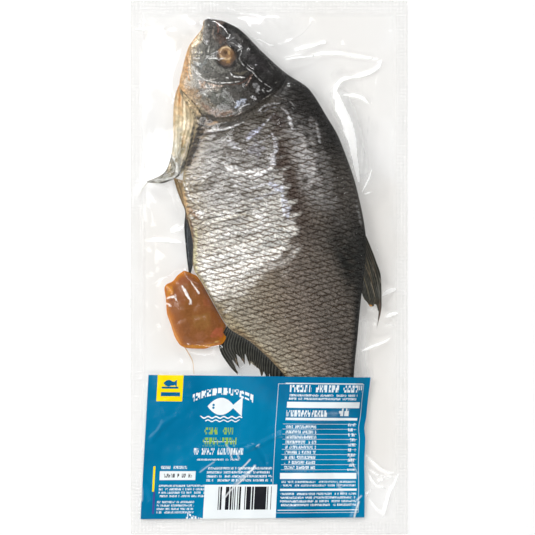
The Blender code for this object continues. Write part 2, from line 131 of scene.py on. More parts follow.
# Fins, in pixels of the photograph: lines across the rays, from the root out to the tips.
DORSAL_FIN = (
    ((366, 236), (363, 248), (361, 262), (359, 280)),
    ((375.5, 260), (369, 268), (364.5, 277), (361, 288)),
    ((381, 279), (373, 284), (367, 289), (362, 294)),
    ((381.5, 305), (376, 297), (369.5, 299), (363.5, 298)),
    ((376.5, 329), (376.8, 307), (371.5, 307.5), (366, 303)),
)
ANAL_FIN = (
    ((230, 319.5), (236.5, 328), (246, 336.5), (256, 344.5), (266, 353), (278, 363), (297, 378.5)),
    ((219, 345), (231.5, 346.5), (244, 349.5), (254.5, 357), (264.5, 365.5), (277, 377.5), (299, 396)),
    ((228, 364), (236.5, 358), (245, 357.5), (255.5, 364), (265, 373), (278, 386.5), (301, 408)),
    ((239, 376), (241, 368), (246, 365), (256.5, 371), (265.5, 381), (279, 397), (300, 420)),
)
TAIL_FIN = (
    ((347, 393.4), (334.7, 397.4), (322.4, 401.5), (310.8, 405.3)),
    ((359, 434.4), (341, 427.4), (326.4, 432.2), (309.6, 450.6)),
    ((357.8, 483.9), (340.7, 448.9), (323.7, 454.5), (302.1, 508.7)),
)
PECTORAL_FIN = (
    ((183, 77), (192, 95)),
    ((175.5, 95), (198, 106)),
    ((173.5, 110), (201.5, 117)),
    ((173.2, 125), (201, 125)),
    ((173.6, 137), (195.2, 138)),
    ((172.4, 150), (190.6, 152)),
    ((170.5, 159), (187.6, 163)),
    ((165, 172), (181, 174.5)),
    ((156, 177.8), (171, 180.5)),
    ((151, 179.6), (160, 183.6)),
    ((146.4, 181.6), (147.6, 182.4)),
)
PELVIC_FIN = (
    ((173.6, 178), (185, 181)),
    ((177, 190), (189, 194)),
    ((181.6, 202), (192.6, 206)),
    ((185.4, 213), (195, 218)),
    ((184.4, 226), (195.6, 232)),
    ((185.8, 245), (195, 251)),
    ((187.4, 262), (192.6, 267)),
    ((188.8, 273), (190.6, 274)),
)

# The film.
FILM_COLUMNS = 200
FILM_ROWS = 384
FILM_BACK_STEP = 4  # cells of the front for each cell of the back
FILM_GAP = 0.3 * MM
FILM_SLOPE = 1.0  # how steeply the film stands beside what it covers
FILM_REACH = 24  # cells of the grid over which what it covers holds it up
FILM_OVER_SHEET = 0.1 * MM
FILM_OVER_BACK = 0.25 * MM
FILM_UNDER_LABEL = 0.15 * MM
SEAL_WIDTH = 11.5 * MM
SHEET_INSET = 0.01 * MM  # keeps rays that look for the sheet off its edge

# The label.
LABEL_CORNERS = np.array([(-113.0, -100.7), (98.3, -103.0), (90.4, -234.4), (-120.5, -236.0)]) * MM
LABEL_RIGHT_EDGE = (  # (share of the way up, how far the edge is drawn in)
    (0.0, 0.9 * MM), (0.21, 2.3 * MM), (0.42, 4.2 * MM), (0.55, 4.4 * MM), (0.645, 6.0 * MM),
    (0.72, 4.9 * MM), (0.82, 4.4 * MM), (1.0, 3.0 * MM),
)
LABEL_COLUMNS = 236
LABEL_ROWS = 150
LABEL_THICKNESS = 0.3 * MM
LABEL_INSET = 0.9995  # keeps rays that look for the label's solid off its edge

PRINT_LEFT, PRINT_TOP = 148.6, 376.0  # the flat label, in pixels of its print
PRINT_WIDTH, PRINT_HEIGHT = 222.0, 142.0
PRINT_SKEW = (0.069, 0.039)  # how far it leans, for each pixel down, at its left and right edge
PRINT_TILT = 1.6
# Where the label's gloss is blown out: (points in the photograph, half width in pixels, strength).
LABEL_GLARE = (
    (((228.6, 448), (232, 458.6)), 0.9, 0.9),
    (((236.4, 452), (239.4, 459)), 0.8, 0.8),
    (((226, 444), (229, 449)), 0.7, 0.6),
    (((239.6, 470), (246, 464), (250, 459.6)), 1.2, 0.7),
    (((247, 473), (252, 470), (254.6, 466)), 1.6, 0.85),
    (((223, 500), (230, 491), (240, 482), (248, 475)), 1.0, 0.8),
    (((234, 486), (242, 478), (250, 472)), 2.6, 0.35),
    (((354, 518), (356, 510), (358.6, 502)), 1.5, 0.8),
    (((357, 500), (361, 496)), 1.2, 0.6),
    (((138.6, 484), (141, 492), (141, 500)), 2.6, 0.5),
    (((200, 472), (208, 466), (214, 462)), 1.0, 0.35),
    (((350, 457), (354, 466), (358, 474)), 0.9, 0.45),
    (((256.6, 446), (259, 444.6)), 0.8, 0.7),
    (((338, 484), (342, 492)), 2.4, 0.25),
)

# Colours in the photograph are 8-bit sRGB.
GLINT = (250, 250, 248)
SCALE_GLINT = (246, 247, 250)
# Painted shade: the dark lines lie in the step behind each scale's edge.
SCALE_EDGE_SHADE = (122, 99, 76)  # what the dark lines between the scales multiply the skin's colour with
TAN_BELLY = (164, 148, 116)
BROWN_SIDE = (76, 62, 57)  # beyond the sheen
# Silvery skin on the dark side, with a painted sheen.
SILVERY_SHEEN = (192, 190, 189)
PALE_REAR = (108, 101, 94)
BACK_EDGE = (34, 34, 33)
BACK_MIDDLE = (100, 94, 88)
DARK_SHOULDER = (38, 36, 35)
DORSAL_ROOT = (40, 41, 39)
EYE_GROUND = (120, 110, 100)
DARKEST, BRIGHTEST = 0.002, 1.0  # of a colour in linear light

# (share of the way from the middle line to the edge, colour) across the body.
FLANK_COLOURS = (
    (-1.0, (128, 110, 82)), (-0.95, (158, 146, 120)), (-0.85, (154, 146, 129)), (-0.6, (148, 140, 125)),
    (-0.35, (137, 127, 113)), (-0.15, (128, 118, 107)), (0.1, (119, 110, 102)), (0.32, (107, 100, 93)),
    (0.52, (93, 88, 83)), (0.70, (74, 71, 68)), (0.85, (46, 45, 43)), (1.0, (38, 38, 36)),
)
HEAD_COLOURS = (
    (-1.0, (204, 160, 108)), (-0.93, (188, 157, 120)), (-0.78, (160, 146, 126)), (-0.55, (122, 120, 114)),
    (-0.3, (104, 103, 98)), (0.0, (90, 88, 84)), (0.22, (70, 67, 64)), (0.42, (46, 44, 43)),
    (0.7, (36, 35, 34)), (1.0, (34, 33, 32)),
)
# Skin that mirrors the light, from the gill cover back to the end of the sheen, by station.
SHEEN_COLOURS = (
    (0.24, (74, 70, 64)), (0.285, (96, 92, 86)), (0.33, (132, 129, 125)), (0.40, (160, 158, 155)),
    (0.48, (188, 186, 181)), (0.56, (222, 220, 214)), (0.62, (242, 240, 235)), (0.68, (228, 224, 216)),
)
# Where the light mirrored by the belly side ends: towards the back, by the head and further down, and below.
SHEEN_EDGE_X = (277.0, 295.0)
SHEEN_LOWER_EDGE = ((297.0, 244.0), (222.0, 303.0))

# Where patches lie on the skin. ALONG (by station) and ACROSS (by offset) are the (middle, reach) of a patch.
# The others are the (none, full) of an edge: START and END by station, EDGE by offset, and INNER and OUTER
# by share of the half width.
BROWN_ALONG, BROWN_ACROSS = (0.42, 0.26), (0.06, 0.055)
SILVERY_SHEEN_ALONG, SILVERY_SHEEN_ACROSS = (0.40, 0.17), (0.125, 0.05)
BELLY_END, BELLY_OUTER = (0.62, 0.50), (-0.55, -0.98)
REAR_START, REAR_INNER, REAR_OUTER = (0.58, 0.72), (0.2, 0.5), (1.02, 0.8)
BACK_EDGE_OUTER, BACK_EDGE_PALE_ALONG = (0.84, 0.96), (0.53, 0.13)
BACK_MIDDLE_ALONG, BACK_MIDDLE_OUTER = (0.51, 0.15), (0.62, 0.80)
SHOULDER_ALONG, SHOULDER_OUTER = (0.26, 0.14), (0.42, 0.68)
DORSAL_ROOT_ALONG, DORSAL_ROOT_EDGE = (0.685, 0.14), (0.095, 0.135)
CREASED_ALONG, CREASED_EDGE = (0.42, 0.24), (0.05, -0.03)

# Noise in layers: (strength, size, seed) of each.
COLOUR_DRIFT = ((0.05, 28 * MM, 21), (0.03, 9 * MM, 22))
BODY_WAVES = ((0.40 * MM, 20 * MM, 31), (0.15 * MM, 8 * MM, 32))
ROE_LUMPS = ((0.30 * MM, 10 * MM, 61), (0.10 * MM, 4 * MM, 62))
FILM_PLEATS = ((0.35 * MM, 17 * MM, 71), (0.08 * MM, 7 * MM, 72))
LABEL_WAVES = ((0.30 * MM, 24 * MM, 81), (0.10 * MM, 8 * MM, 82))

BARE_SKIN = (((190, 98), (197, 107), (206, 118), (214, 122)), 7.0, 1.0)  # at the root of the pectoral fin

# Marks on the head, its own colours with painted highlights and painted shade among them: (points in the
# photograph, half width in pixels, rise in mm, colour, strength).
HEAD_MARKS_AND_PAINTED_LIGHT = (
    (((204, 86), (213, 91), (222, 98)), 7.0, 0.0, (156, 153, 145), 0.6),
    (((211, 85), (216, 90), (220, 95)), 3.0, 0.0, (186, 176, 162), 0.6),
    # the snout and the upper jaw
    (((216, 21), (223, 24)), 5.0, 0.0, (104, 90, 82), 0.8),
    (((217, 23), (218.5, 27), (218, 33)), 1.6, 0.2, (132, 88, 74), 0.7),
    (((214, 27), (213, 34), (215, 40)), 1.4, 0.3, (136, 122, 110), 0.6),
    (((221, 27), (221, 33)), 1.2, 0.3, (128, 112, 98), 0.5),
    (((208, 30), (206.5, 36), (208, 44)), 3.4, 0.9, (124, 120, 118), 0.8),
    (((211.5, 30), (210.5, 38), (212, 45)), 0.9, -0.5, (70, 64, 60), 0.7),
    (((204.6, 30), (203.4, 38), (205, 46)), 1.0, -0.6, (88, 72, 60), 0.8),
    (((217, 36), (221, 41), (226, 45)), 4.2, -0.2, (84, 62, 50), 0.8),
    # painted highlights on the snout, in the next two marks
    (((207.4, 41.0), (208.2, 42.4)), 1.5, 0.4, (236, 236, 240), 0.95),
    (((208.5, 25.2),), 1.3, 0.4, (236, 236, 238), 0.9),
    (((213.4, 24.6),), 0.7, 0.2, (196, 192, 190), 0.8),
    # the lip and the lower jaw
    (((200.6, 34), (198.6, 41), (192.4, 46.4)), 3.2, 0.5, (240, 226, 196), 0.9),
    (((202.6, 33), (200.6, 41), (195.6, 47)), 0.8, -0.4, (176, 118, 70), 0.8),
    (((197.4, 35.5), (194.6, 41), (190, 46)), 0.8, 0.0, (214, 150, 84), 0.8),
    (((199, 49), (202, 52), (199.6, 55.6), (195, 56.6)), 1.0, 0.5, (232, 226, 204), 0.85),
    (((195, 48.6), (196.4, 51.6), (194, 54)), 0.8, 0.4, (234, 226, 196), 0.8),
    (((197, 50.6), (198.6, 52.4), (196.4, 54.6)), 0.6, -0.4, (150, 132, 104), 0.7),
    (((189, 51), (187.4, 62), (187.4, 72), (190, 82)), 1.8, 0.2, (190, 142, 92), 0.8),
    (((191.6, 52), (190, 62), (190, 72), (192.6, 80)), 1.4, 0.5, (226, 196, 154), 0.85),
    (((186, 58), (185, 70), (185, 80)), 1.2, 0.0, (204, 142, 76), 0.6),
    # folds before and below the eye
    (((209.6, 46.5), (208.6, 52), (209.4, 57.5)), 0.9, 0.7, (206, 206, 200), 0.9),
    (((207.4, 47), (206.2, 52), (207, 57)), 1.0, -0.5, (84, 86, 84), 0.7),
    (((214.6, 49), (212, 55), (212.4, 62), (216.4, 69), (224, 73)), 1.3, 0.3, (140, 140, 132), 0.7),
    (((212, 50), (209.6, 60), (212.6, 68), (219, 74)), 0.8, -0.4, (74, 74, 72), 0.7),
    (((193.6, 58.8), (201, 58.8)), 0.9, 0.4, GLINT, 0.9),
    (((194, 62), (199, 66), (204, 64), (206, 60)), 2.6, 0.2, (132, 136, 136), 0.7),
    (((192, 65), (195.6, 71), (201, 75)), 1.8, 0.4, (222, 220, 216), 0.85),
    (((198, 67), (203, 71.6), (209, 73)), 1.6, -0.3, (94, 96, 96), 0.7),
    (((196, 73.6), (202, 78.4), (210, 80.4), (218, 79)), 1.4, 0.4, (186, 182, 176), 0.8),
    (((214, 72.6), (222, 75.4), (229, 75)), 1.2, -0.4, (80, 78, 74), 0.7),
    (((205, 75), (214, 77.4), (224, 79)), 1.0, -0.4, (90, 84, 80), 0.6),
    # painted highlights below the eye, in the next two marks
    (((230.6, 73.4), (232.4, 76), (236, 77.6), (244.6, 78.2)), 1.1, 0.5, (244, 244, 244), 0.9),
    (((226, 77.6), (229, 79.4)), 1.1, 0.4, (216, 216, 214), 0.85),
    (((233, 73), (240, 74.6), (247, 72)), 1.5, 0.0, (120, 114, 96), 0.6),
    (((226, 75), (227.4, 77)), 0.9, -0.6, (50, 46, 44), 0.8),
    # the ridge below the cheek, and the peach-coloured fold beneath it
    (((204, 80.2), (211, 82.2), (220, 83.8), (232, 83.4), (239.6, 82.0)), 1.0, 0.8, (238, 236, 234), 0.9),
    (((205, 83), (214, 86.2), (224, 86.8)), 1.3, 0.3, (206, 178, 160), 0.8),
    (((224, 84.8), (234, 85.4), (241, 83.8), (246, 81), (251.4, 75.6)), 1.0, -0.5, (104, 70, 56), 0.85),
    (((200, 82), (203, 86), (204.6, 90)), 3.2, 0.2, (172, 138, 110), 0.6),
    (((205.6, 81), (203.6, 85), (200, 89)), 0.7, 0.4, (232, 196, 168), 0.8),
    (((199.6, 84),), 1.2, 0.5, (250, 240, 230), 0.9),
    (((198, 92.8), (206, 90.4), (215.6, 89.3), (226, 88.6)), 0.9, -0.6, (84, 58, 46), 0.9),
    # a painted highlight along the fold
    (((206, 88.4), (214, 87.6), (222, 87)), 0.8, 0.5, (232, 222, 214), 0.8),
    (((253, 74.6), (249, 81.6), (245.4, 87)), 0.9, 0.6, (206, 178, 166), 0.85),
    # the skull
    # the nostril, painted black as the shade in its hole
    (((226, 26.2),), 3.2, -1.2, (20, 19, 19), 1.0),
    (((229.4, 28.6), (233, 30.4)), 1.6, 0.0, (48, 46, 45), 0.7),
    # painted highlights on the skull's crinkles, in the next three marks
    (((228.4, 41.6), (232, 39.4), (234.8, 37.8)), 0.8, 0.5, (190, 190, 190), 0.9),
    (((229, 43), (233, 43.8), (238, 46.8), (242.2, 47.4)), 0.8, 0.5, (206, 206, 206), 0.9),
    (((237.6, 52.2), (239.6, 50.4), (242.6, 48.6)), 1.0, 0.5, (226, 226, 226), 0.9),
    (((230, 47), (234, 49), (236, 53)), 1.2, -0.4, (40, 38, 37), 0.8),
    (((234, 34), (240, 39), (247, 46)), 3.4, 0.1, (64, 60, 57), 0.6),
    (((236, 40), (240, 43)), 1.2, -0.4, (36, 34, 33), 0.7),
    (((246, 53), (254, 59), (262, 67), (268, 75)), 6.0, 0.0, (50, 47, 48), 0.8),
    # a painted highlight along a ridge of the skull
    (((241.5, 53.4), (239.6, 59), (244.8, 67), (253, 73), (257, 78), (264, 84), (271, 88.4)), 0.9, 0.7,
     (206, 206, 206), 0.95),
    (((243.4, 60), (248, 66.6), (256, 72), (260, 77.4), (267, 83)), 1.0, -0.5, (34, 32, 32), 0.8),
    (((236.4, 56), (236.2, 61), (241, 69)), 0.7, 0.2, (122, 120, 112), 0.6),
    (((247, 55), (252, 55.6), (257, 55.2)), 0.6, 0.2, (96, 94, 92), 0.6),
    # a painted highlight
    (((255.4, 65.2), (257, 66.6)), 1.3, 0.3, (206, 204, 212), 0.85),
    # a painted reflection of the film's edge, along the head's outline
    (((243, 35.4), (256, 46), (270, 59), (283, 71.6)), 0.9, 0.4, (104, 102, 98), 0.6),
    (((268, 63), (274, 70)), 0.8, 0.2, (110, 108, 104), 0.5),
    (((264, 88.6), (268.6, 92), (272, 89.6)), 0.9, 0.4, (196, 196, 196), 0.8),
    (((275, 84), (281, 80)), 0.9, 0.3, (120, 118, 114), 0.6),
    # the gill cover
    (((211, 96), (222, 98), (229, 104)), 8.5, 0.0, (98, 100, 95), 0.8),
    (((203.6, 94), (208, 96.4)), 1.6, 0.4, (200, 200, 194), 0.8),
    (((207, 93), (214, 92), (222, 91)), 1.0, 0.3, (166, 164, 156), 0.6),
    # painted glints on the gill cover, in the next three marks
    (((236, 108), (239.6, 103), (246, 100.6)), 2.8, 0.4, (196, 204, 222), 0.9),
    (((238, 110.4), (244, 106.4), (250, 104.6)), 1.0, 0.4, (246, 248, 252), 0.95),
    (((240, 101), (245, 101.4)), 0.9, 0.3, (250, 250, 252), 0.9),
    (((231, 109), (235, 104), (238, 99)), 0.8, -0.4, (70, 68, 66), 0.7),
    (((232, 91), (238, 89), (246, 89)), 3.0, 0.0, (92, 92, 90), 0.6),
    (((253.4, 84), (257, 88), (258.6, 94)), 2.4, 0.4, (166, 166, 168), 0.8),
    # painted glints, in this mark and the next
    (((262.4, 90), (264.4, 93.4)), 1.3, 0.4, (214, 214, 214), 0.85),
    (((252, 97), (256, 100)), 1.8, 0.3, (206, 206, 210), 0.8),
    (((248, 92), (252, 94)), 1.6, 0.0, (84, 82, 80), 0.6),
    (((262, 100.4), (268, 97), (273, 94)), 0.8, 0.4, (196, 190, 184), 0.8),
    (((202, 104), (210, 111), (222, 114), (233, 112)), 3.2, 0.0, (138, 112, 96), 0.85),
    (((206, 98), (210, 104), (217, 109)), 2.4, 0.0, (134, 122, 104), 0.6),
    (((214, 117), (225, 117.4), (236, 115)), 0.9, 0.2, (112, 74, 58), 0.8),
    (((235, 116.4), (239, 114.6), (243, 111.6)), 0.8, 0.4, (216, 206, 198), 0.8),
    (((188, 86), (194, 92), (200, 100)), 3.4, 0.2, (160, 132, 102), 0.8),
    (((187, 94), (190, 98), (194, 101.6)), 1.6, 0.3, (206, 180, 150), 0.75),
    (((196.4, 103.4), (198.6, 105.4)), 1.0, 0.5, GLINT, 0.9),
    (((191, 99), (196, 105.6), (202, 114.6)), 1.0, -0.8, (56, 40, 32), 0.95),
)
# Marks on the flank and the belly's edge: the skin's own colours, with painted highlights and painted shade
# among them.
FLANK_MARKS_AND_PAINTED_LIGHT = (
    # behind the gill cover; its white and blue-white marks are painted highlights
    (((204, 122), (216, 121), (230, 120.4), (244, 117)), 2.2, 0.0, (92, 84, 74), 0.7),
    (((216, 126), (232, 124), (246, 117)), 2.6, 0.0, (78, 76, 74), 0.6),
    (((202, 137), (208, 132), (220, 130.6), (232, 127.6), (244, 122.6)), 1.4, 0.6, (240, 240, 242), 0.85),
    (((204, 133.6), (210, 131), (216, 130)), 2.0, 0.4, (244, 244, 242), 0.7),
    (((206, 126), (211, 124), (217, 123)), 2.2, 0.0, (170, 134, 96), 0.7),
    (((246, 141), (254, 135), (262, 128)), 1.6, 0.5, (196, 200, 222), 0.8),
    (((262, 127.6), (267, 122), (276, 112.4)), 0.9, 0.7, (226, 228, 236), 0.9),
    (((250, 133), (258, 129), (264, 124)), 1.3, 0.3, (176, 180, 206), 0.6),
    (((258, 112), (264, 107), (272, 104.6), (280, 104)), 1.4, 0.6, (180, 180, 182), 0.8),
    (((258, 109), (261, 112.6), (258, 114)), 0.8, 0.5, (214, 214, 216), 0.85),
    (((262, 114), (270, 108.6), (278, 107.6)), 1.0, 0.5, (132, 134, 146), 0.7),
    (((274, 96), (282, 99.4), (290, 102), (296, 110)), 1.2, 0.5, (146, 146, 146), 0.7),
    (((281, 108.4), (286, 112), (289, 118), (292, 128)), 1.5, 0.8, (206, 206, 210), 0.8),
    (((288.4, 116), (292.4, 129.6)), 2.0, 0.5, (240, 240, 244), 0.8),
    (((268, 116), (276, 120), (284, 128)), 5.0, 0.0, (72, 62, 60), 0.75),
    (((250, 152), (262, 148)), 7.0, 0.0, (146, 146, 160), 0.5),
    (((246, 149), (256, 145.6), (266, 139), (273, 134)), 0.9, 0.5, (220, 222, 232), 0.85),
    (((272, 134), (275, 141), (276, 150), (273.6, 158), (275, 166)), 2.2, 0.5, (226, 228, 238), 0.75),
    (((266, 163), (258, 167), (248, 169.6)), 1.0, -0.6, (84, 78, 76), 0.7),
    (((226, 166), (233, 171), (241, 174)), 4.4, 0.5, (250, 250, 250), 0.9),
    (((242, 173), (254, 175.6), (266, 172.6)), 2.8, 0.5, (248, 248, 250), 0.9),
    (((262, 172), (270, 168), (275, 163)), 2.4, 0.4, (240, 240, 246), 0.85),
    (((272, 155), (272.6, 163)), 3.0, 0.4, (240, 240, 248), 0.85),
    (((228, 141), (234, 146), (239, 149)), 3.0, 0.3, (222, 224, 232), 0.7),
    (((246, 138), (252, 135.6), (259, 132)), 2.2, 0.4, (206, 208, 230), 0.8),
    (((268, 184), (276, 187), (284, 192)), 3.0, 0.3, (214, 218, 240), 0.75),
    # the fold across the belly, and the bright wrinkles in the sheen, their white marks painted highlights
    (((228, 167), (236, 170.6), (246, 173), (258, 172), (272, 168.6)), 2.6, 0.5, (246, 246, 246), 0.75),
    (((230, 178), (242, 182.6), (256, 180), (270, 176)), 1.6, 0.4, (236, 236, 236), 0.6),
    (((246, 190), (260, 186), (276, 178)), 1.6, 0.4, (224, 226, 236), 0.6),
    (((252, 200), (266, 196), (284, 187)), 1.8, 0.4, (220, 224, 238), 0.6),
    (((282, 196), (285, 206), (288, 219)), 3.6, 0.3, (226, 230, 246), 0.8),
    (((198, 220.6), (212, 218), (230, 216), (244, 212), (254, 207)), 1.1, -0.8, (84, 74, 64), 0.9),
    (((196, 213), (204, 215), (214, 213)), 1.6, 0.4, (232, 230, 226), 0.6),
    (((216, 224), (230, 217.6), (244, 214.6), (252, 216)), 1.6, 0.5, (226, 220, 204), 0.75),
    (((258, 214), (264, 219), (260, 224)), 3.0, 0.4, (248, 248, 248), 0.7),
    (((214, 241), (232, 233), (250, 230.6), (270, 225)), 2.0, 0.4, (246, 246, 246), 0.7),
    (((204, 236), (216, 226), (232, 224)), 1.2, 0.3, (236, 234, 228), 0.6),
    (((212, 247), (230, 244), (252, 238)), 1.1, -0.4, (132, 122, 110), 0.6),
    (((208, 262), (222, 258), (250, 256), (268, 254)), 6.5, 0.2, (246, 246, 244), 0.55),
    (((204, 256), (206, 266), (214, 276)), 4.0, 0.2, (248, 248, 246), 0.65),
    (((268, 262), (276, 258), (283, 254)), 1.6, 0.5, (252, 252, 252), 0.85),
    (((240, 272), (254, 268), (268, 262)), 2.0, 0.4, (240, 238, 232), 0.6),
    (((222, 274), (236, 275), (250, 272)), 3.0, 0.2, (244, 243, 238), 0.6),
    (((264, 237), (280, 232), (290, 234)), 4.0, 0.2, (186, 188, 186), 0.6),
    (((262, 246), (276, 242), (286, 246)), 4.0, 0.1, (164, 166, 162), 0.6),
    (((274, 231), (284, 230), (291, 236)), 0.8, -0.4, (74, 64, 58), 0.8),
    (((197, 214), (204, 215)), 3.2, 0.3, (246, 246, 244), 0.85),
    (((206, 226), (222, 219), (240, 215)), 2.4, 0.5, (240, 238, 230), 0.8),
    (((254, 214), (262, 218)), 3.2, 0.4, (250, 250, 250), 0.85),
    # the root of the pectoral fin, below the gill cover's edge
    (((184, 95), (190, 103), (196, 110), (201, 115)), 3.6, 0.0, (200, 176, 138), 0.9),
    (((186, 96), (189, 103), (192, 112)), 1.6, 0.2, (226, 206, 166), 0.8),
    (((181, 90), (189, 98.4), (197, 107), (203, 117)), 0.9, -0.3, (52, 38, 32), 0.95),
    # the crevice behind the pectoral fin, its dark marks painted shade
    (((198, 118), (206, 119.4), (215, 120.4)), 4.0, -0.6, (54, 45, 39), 0.95),
    (((203, 124), (206, 129), (202, 136)), 4.0, -0.2, (92, 78, 66), 0.8),
    (((207, 118), (204, 128), (200, 142), (195, 156), (189, 168)), 3.0, 0.0, (112, 92, 66), 0.8),
    (((203, 116), (200, 126), (196, 140), (191, 154), (185, 168)), 2.6, -0.5, (58, 45, 32), 0.95),
    (((206, 117), (202, 127), (198, 140), (193, 154), (187, 168)), 3.8, -0.4, (38, 30, 22), 0.95),
    (((210.6, 124.4), (218, 123)), 1.6, 0.3, (176, 142, 104), 0.8),
    # the belly's edge, with the slit from which it was gutted
    (((182.6, 181.6), (187, 189), (190, 197), (196, 204)), 1.2, 0.7, GLINT, 0.95),
    (((191, 187), (194, 192)), 0.9, 0.4, (236, 236, 234), 0.7),
    (((178, 181), (182, 192), (185, 204), (188, 214)), 3.2, 0.0, (192, 154, 104), 0.85),
    (((176, 182), (180, 196), (183, 208)), 1.4, 0.3, (222, 196, 150), 0.7),
    (((188, 208), (194, 214), (198, 219)), 3.0, 0.0, (150, 112, 80), 0.7),
    (((187, 216), (191.6, 224), (193, 240), (192, 262)), 1.7, -0.6, (104, 72, 44), 0.9),
    (((197, 226), (196, 240), (195.4, 256), (196, 272)), 2.4, 0.4, (206, 200, 160), 0.85),
    (((194, 268), (198, 277), (205, 286)), 2.6, 0.3, (186, 172, 128), 0.7),
    (((203, 286), (210, 300), (217, 314), (224, 326)), 1.6, -0.2, (110, 96, 78), 0.8),
    (((205, 290), (213, 306), (221, 320)), 1.1, 0.4, (206, 204, 188), 0.6),
    (((228, 330), (244, 342), (262, 356), (280, 371)), 1.4, 0.2, (150, 134, 98), 0.7),
    # silvery patches on the dark side, their sheen painted
    (((310, 118), (314, 126), (318, 134)), 4.0, 0.3, (128, 126, 126), 0.7),
    (((316, 124), (318.6, 136), (320, 144)), 2.0, 0.4, (186, 186, 188), 0.7),
    (((300, 134), (306, 140), (314, 144)), 1.6, 0.4, (170, 168, 166), 0.6),
    (((300, 148), (306, 162), (310, 178)), 7.5, 0.0, (176, 174, 174), 0.7),
    (((310, 196), (324, 199), (338, 206)), 8.0, 0.0, (132, 130, 128), 0.65),
    (((322, 150), (327, 170), (331, 190)), 6.0, 0.0, (118, 116, 114), 0.6),
    (((356, 200), (358, 212), (361, 226)), 1.8, 0.3, (124, 124, 124), 0.7),
    (((334, 214), (344, 226)), 5.0, 0.0, (92, 90, 88), 0.5),
)

# Marks round the eye and on it, with painted highlights on the eye.
SOCKET_MARKS = (
    (((213.6, 50), (211.4, 58), (214.4, 66.4), (221, 71.6), (230, 71.8)), 3.2, 0.2, (132, 131, 124), 0.55),
    (((240, 60), (239, 66), (234, 71)), 2.2, 0.1, (96, 94, 88), 0.5),
    (((226.5, 57.4),), 13.6, 0.0, (36, 32, 30), 0.97),
)
EYE_MARKS_AND_GLINTS = (
    (((226.6, 57.5),), 13.8, 0.0, (34, 30, 28), 1.0),
    (((226.9, 57.8),), 10.7, 0.0, (106, 87, 74), 1.0),
    (((225.8, 53.8),), 8.5, 0.2, (152, 120, 90), 1.0),
    # a painted highlight along the iris's upper rim
    (((220.6, 52.4), (223.0, 48.6), (227.4, 47.8), (231.0, 50.8)), 1.5, 0.2, (214, 190, 154), 0.9),
    (((231.8, 53), (231.6, 58)), 1.3, 0.1, (112, 80, 54), 0.8),
    (((220.4, 55.4), (223, 58.6), (227.6, 60.2), (231, 58.2)), 1.6, 0.2, (214, 186, 146), 0.9),
    # a painted highlight on the iris
    (((228.6, 51.4), (229.6, 55)), 1.7, 0.1, (206, 172, 120), 0.85),
    (((225.0, 51.2), (226.0, 54.6)), 2.3, -0.2, (54, 38, 28), 0.97),
    (((225.6, 51.8),), 1.1, 0.1, (178, 138, 98), 0.9),
    (((226.6, 63.0), (230.4, 61.8)), 2.2, 0.1, (172, 134, 90), 0.8),
    (((219.4, 62.4), (222.6, 65.8), (228, 66.6), (232.6, 64)), 1.3, 0.0, (70, 56, 50), 0.85),
    (((218.6, 52), (217.4, 57), (218.6, 62)), 1.1, 0.0, (92, 78, 70), 0.8),
    # a painted glint across the eye
    (((209.6, 59.3), (218, 59.1), (226.6, 59.4)), 1.0, 0.2, (250, 250, 248), 0.95),
)

DARK_FIN = ((0.0, (66, 64, 58)), (0.3, (76, 75, 68)), (0.75, (84, 84, 78)), (1.0, (96, 88, 74)))
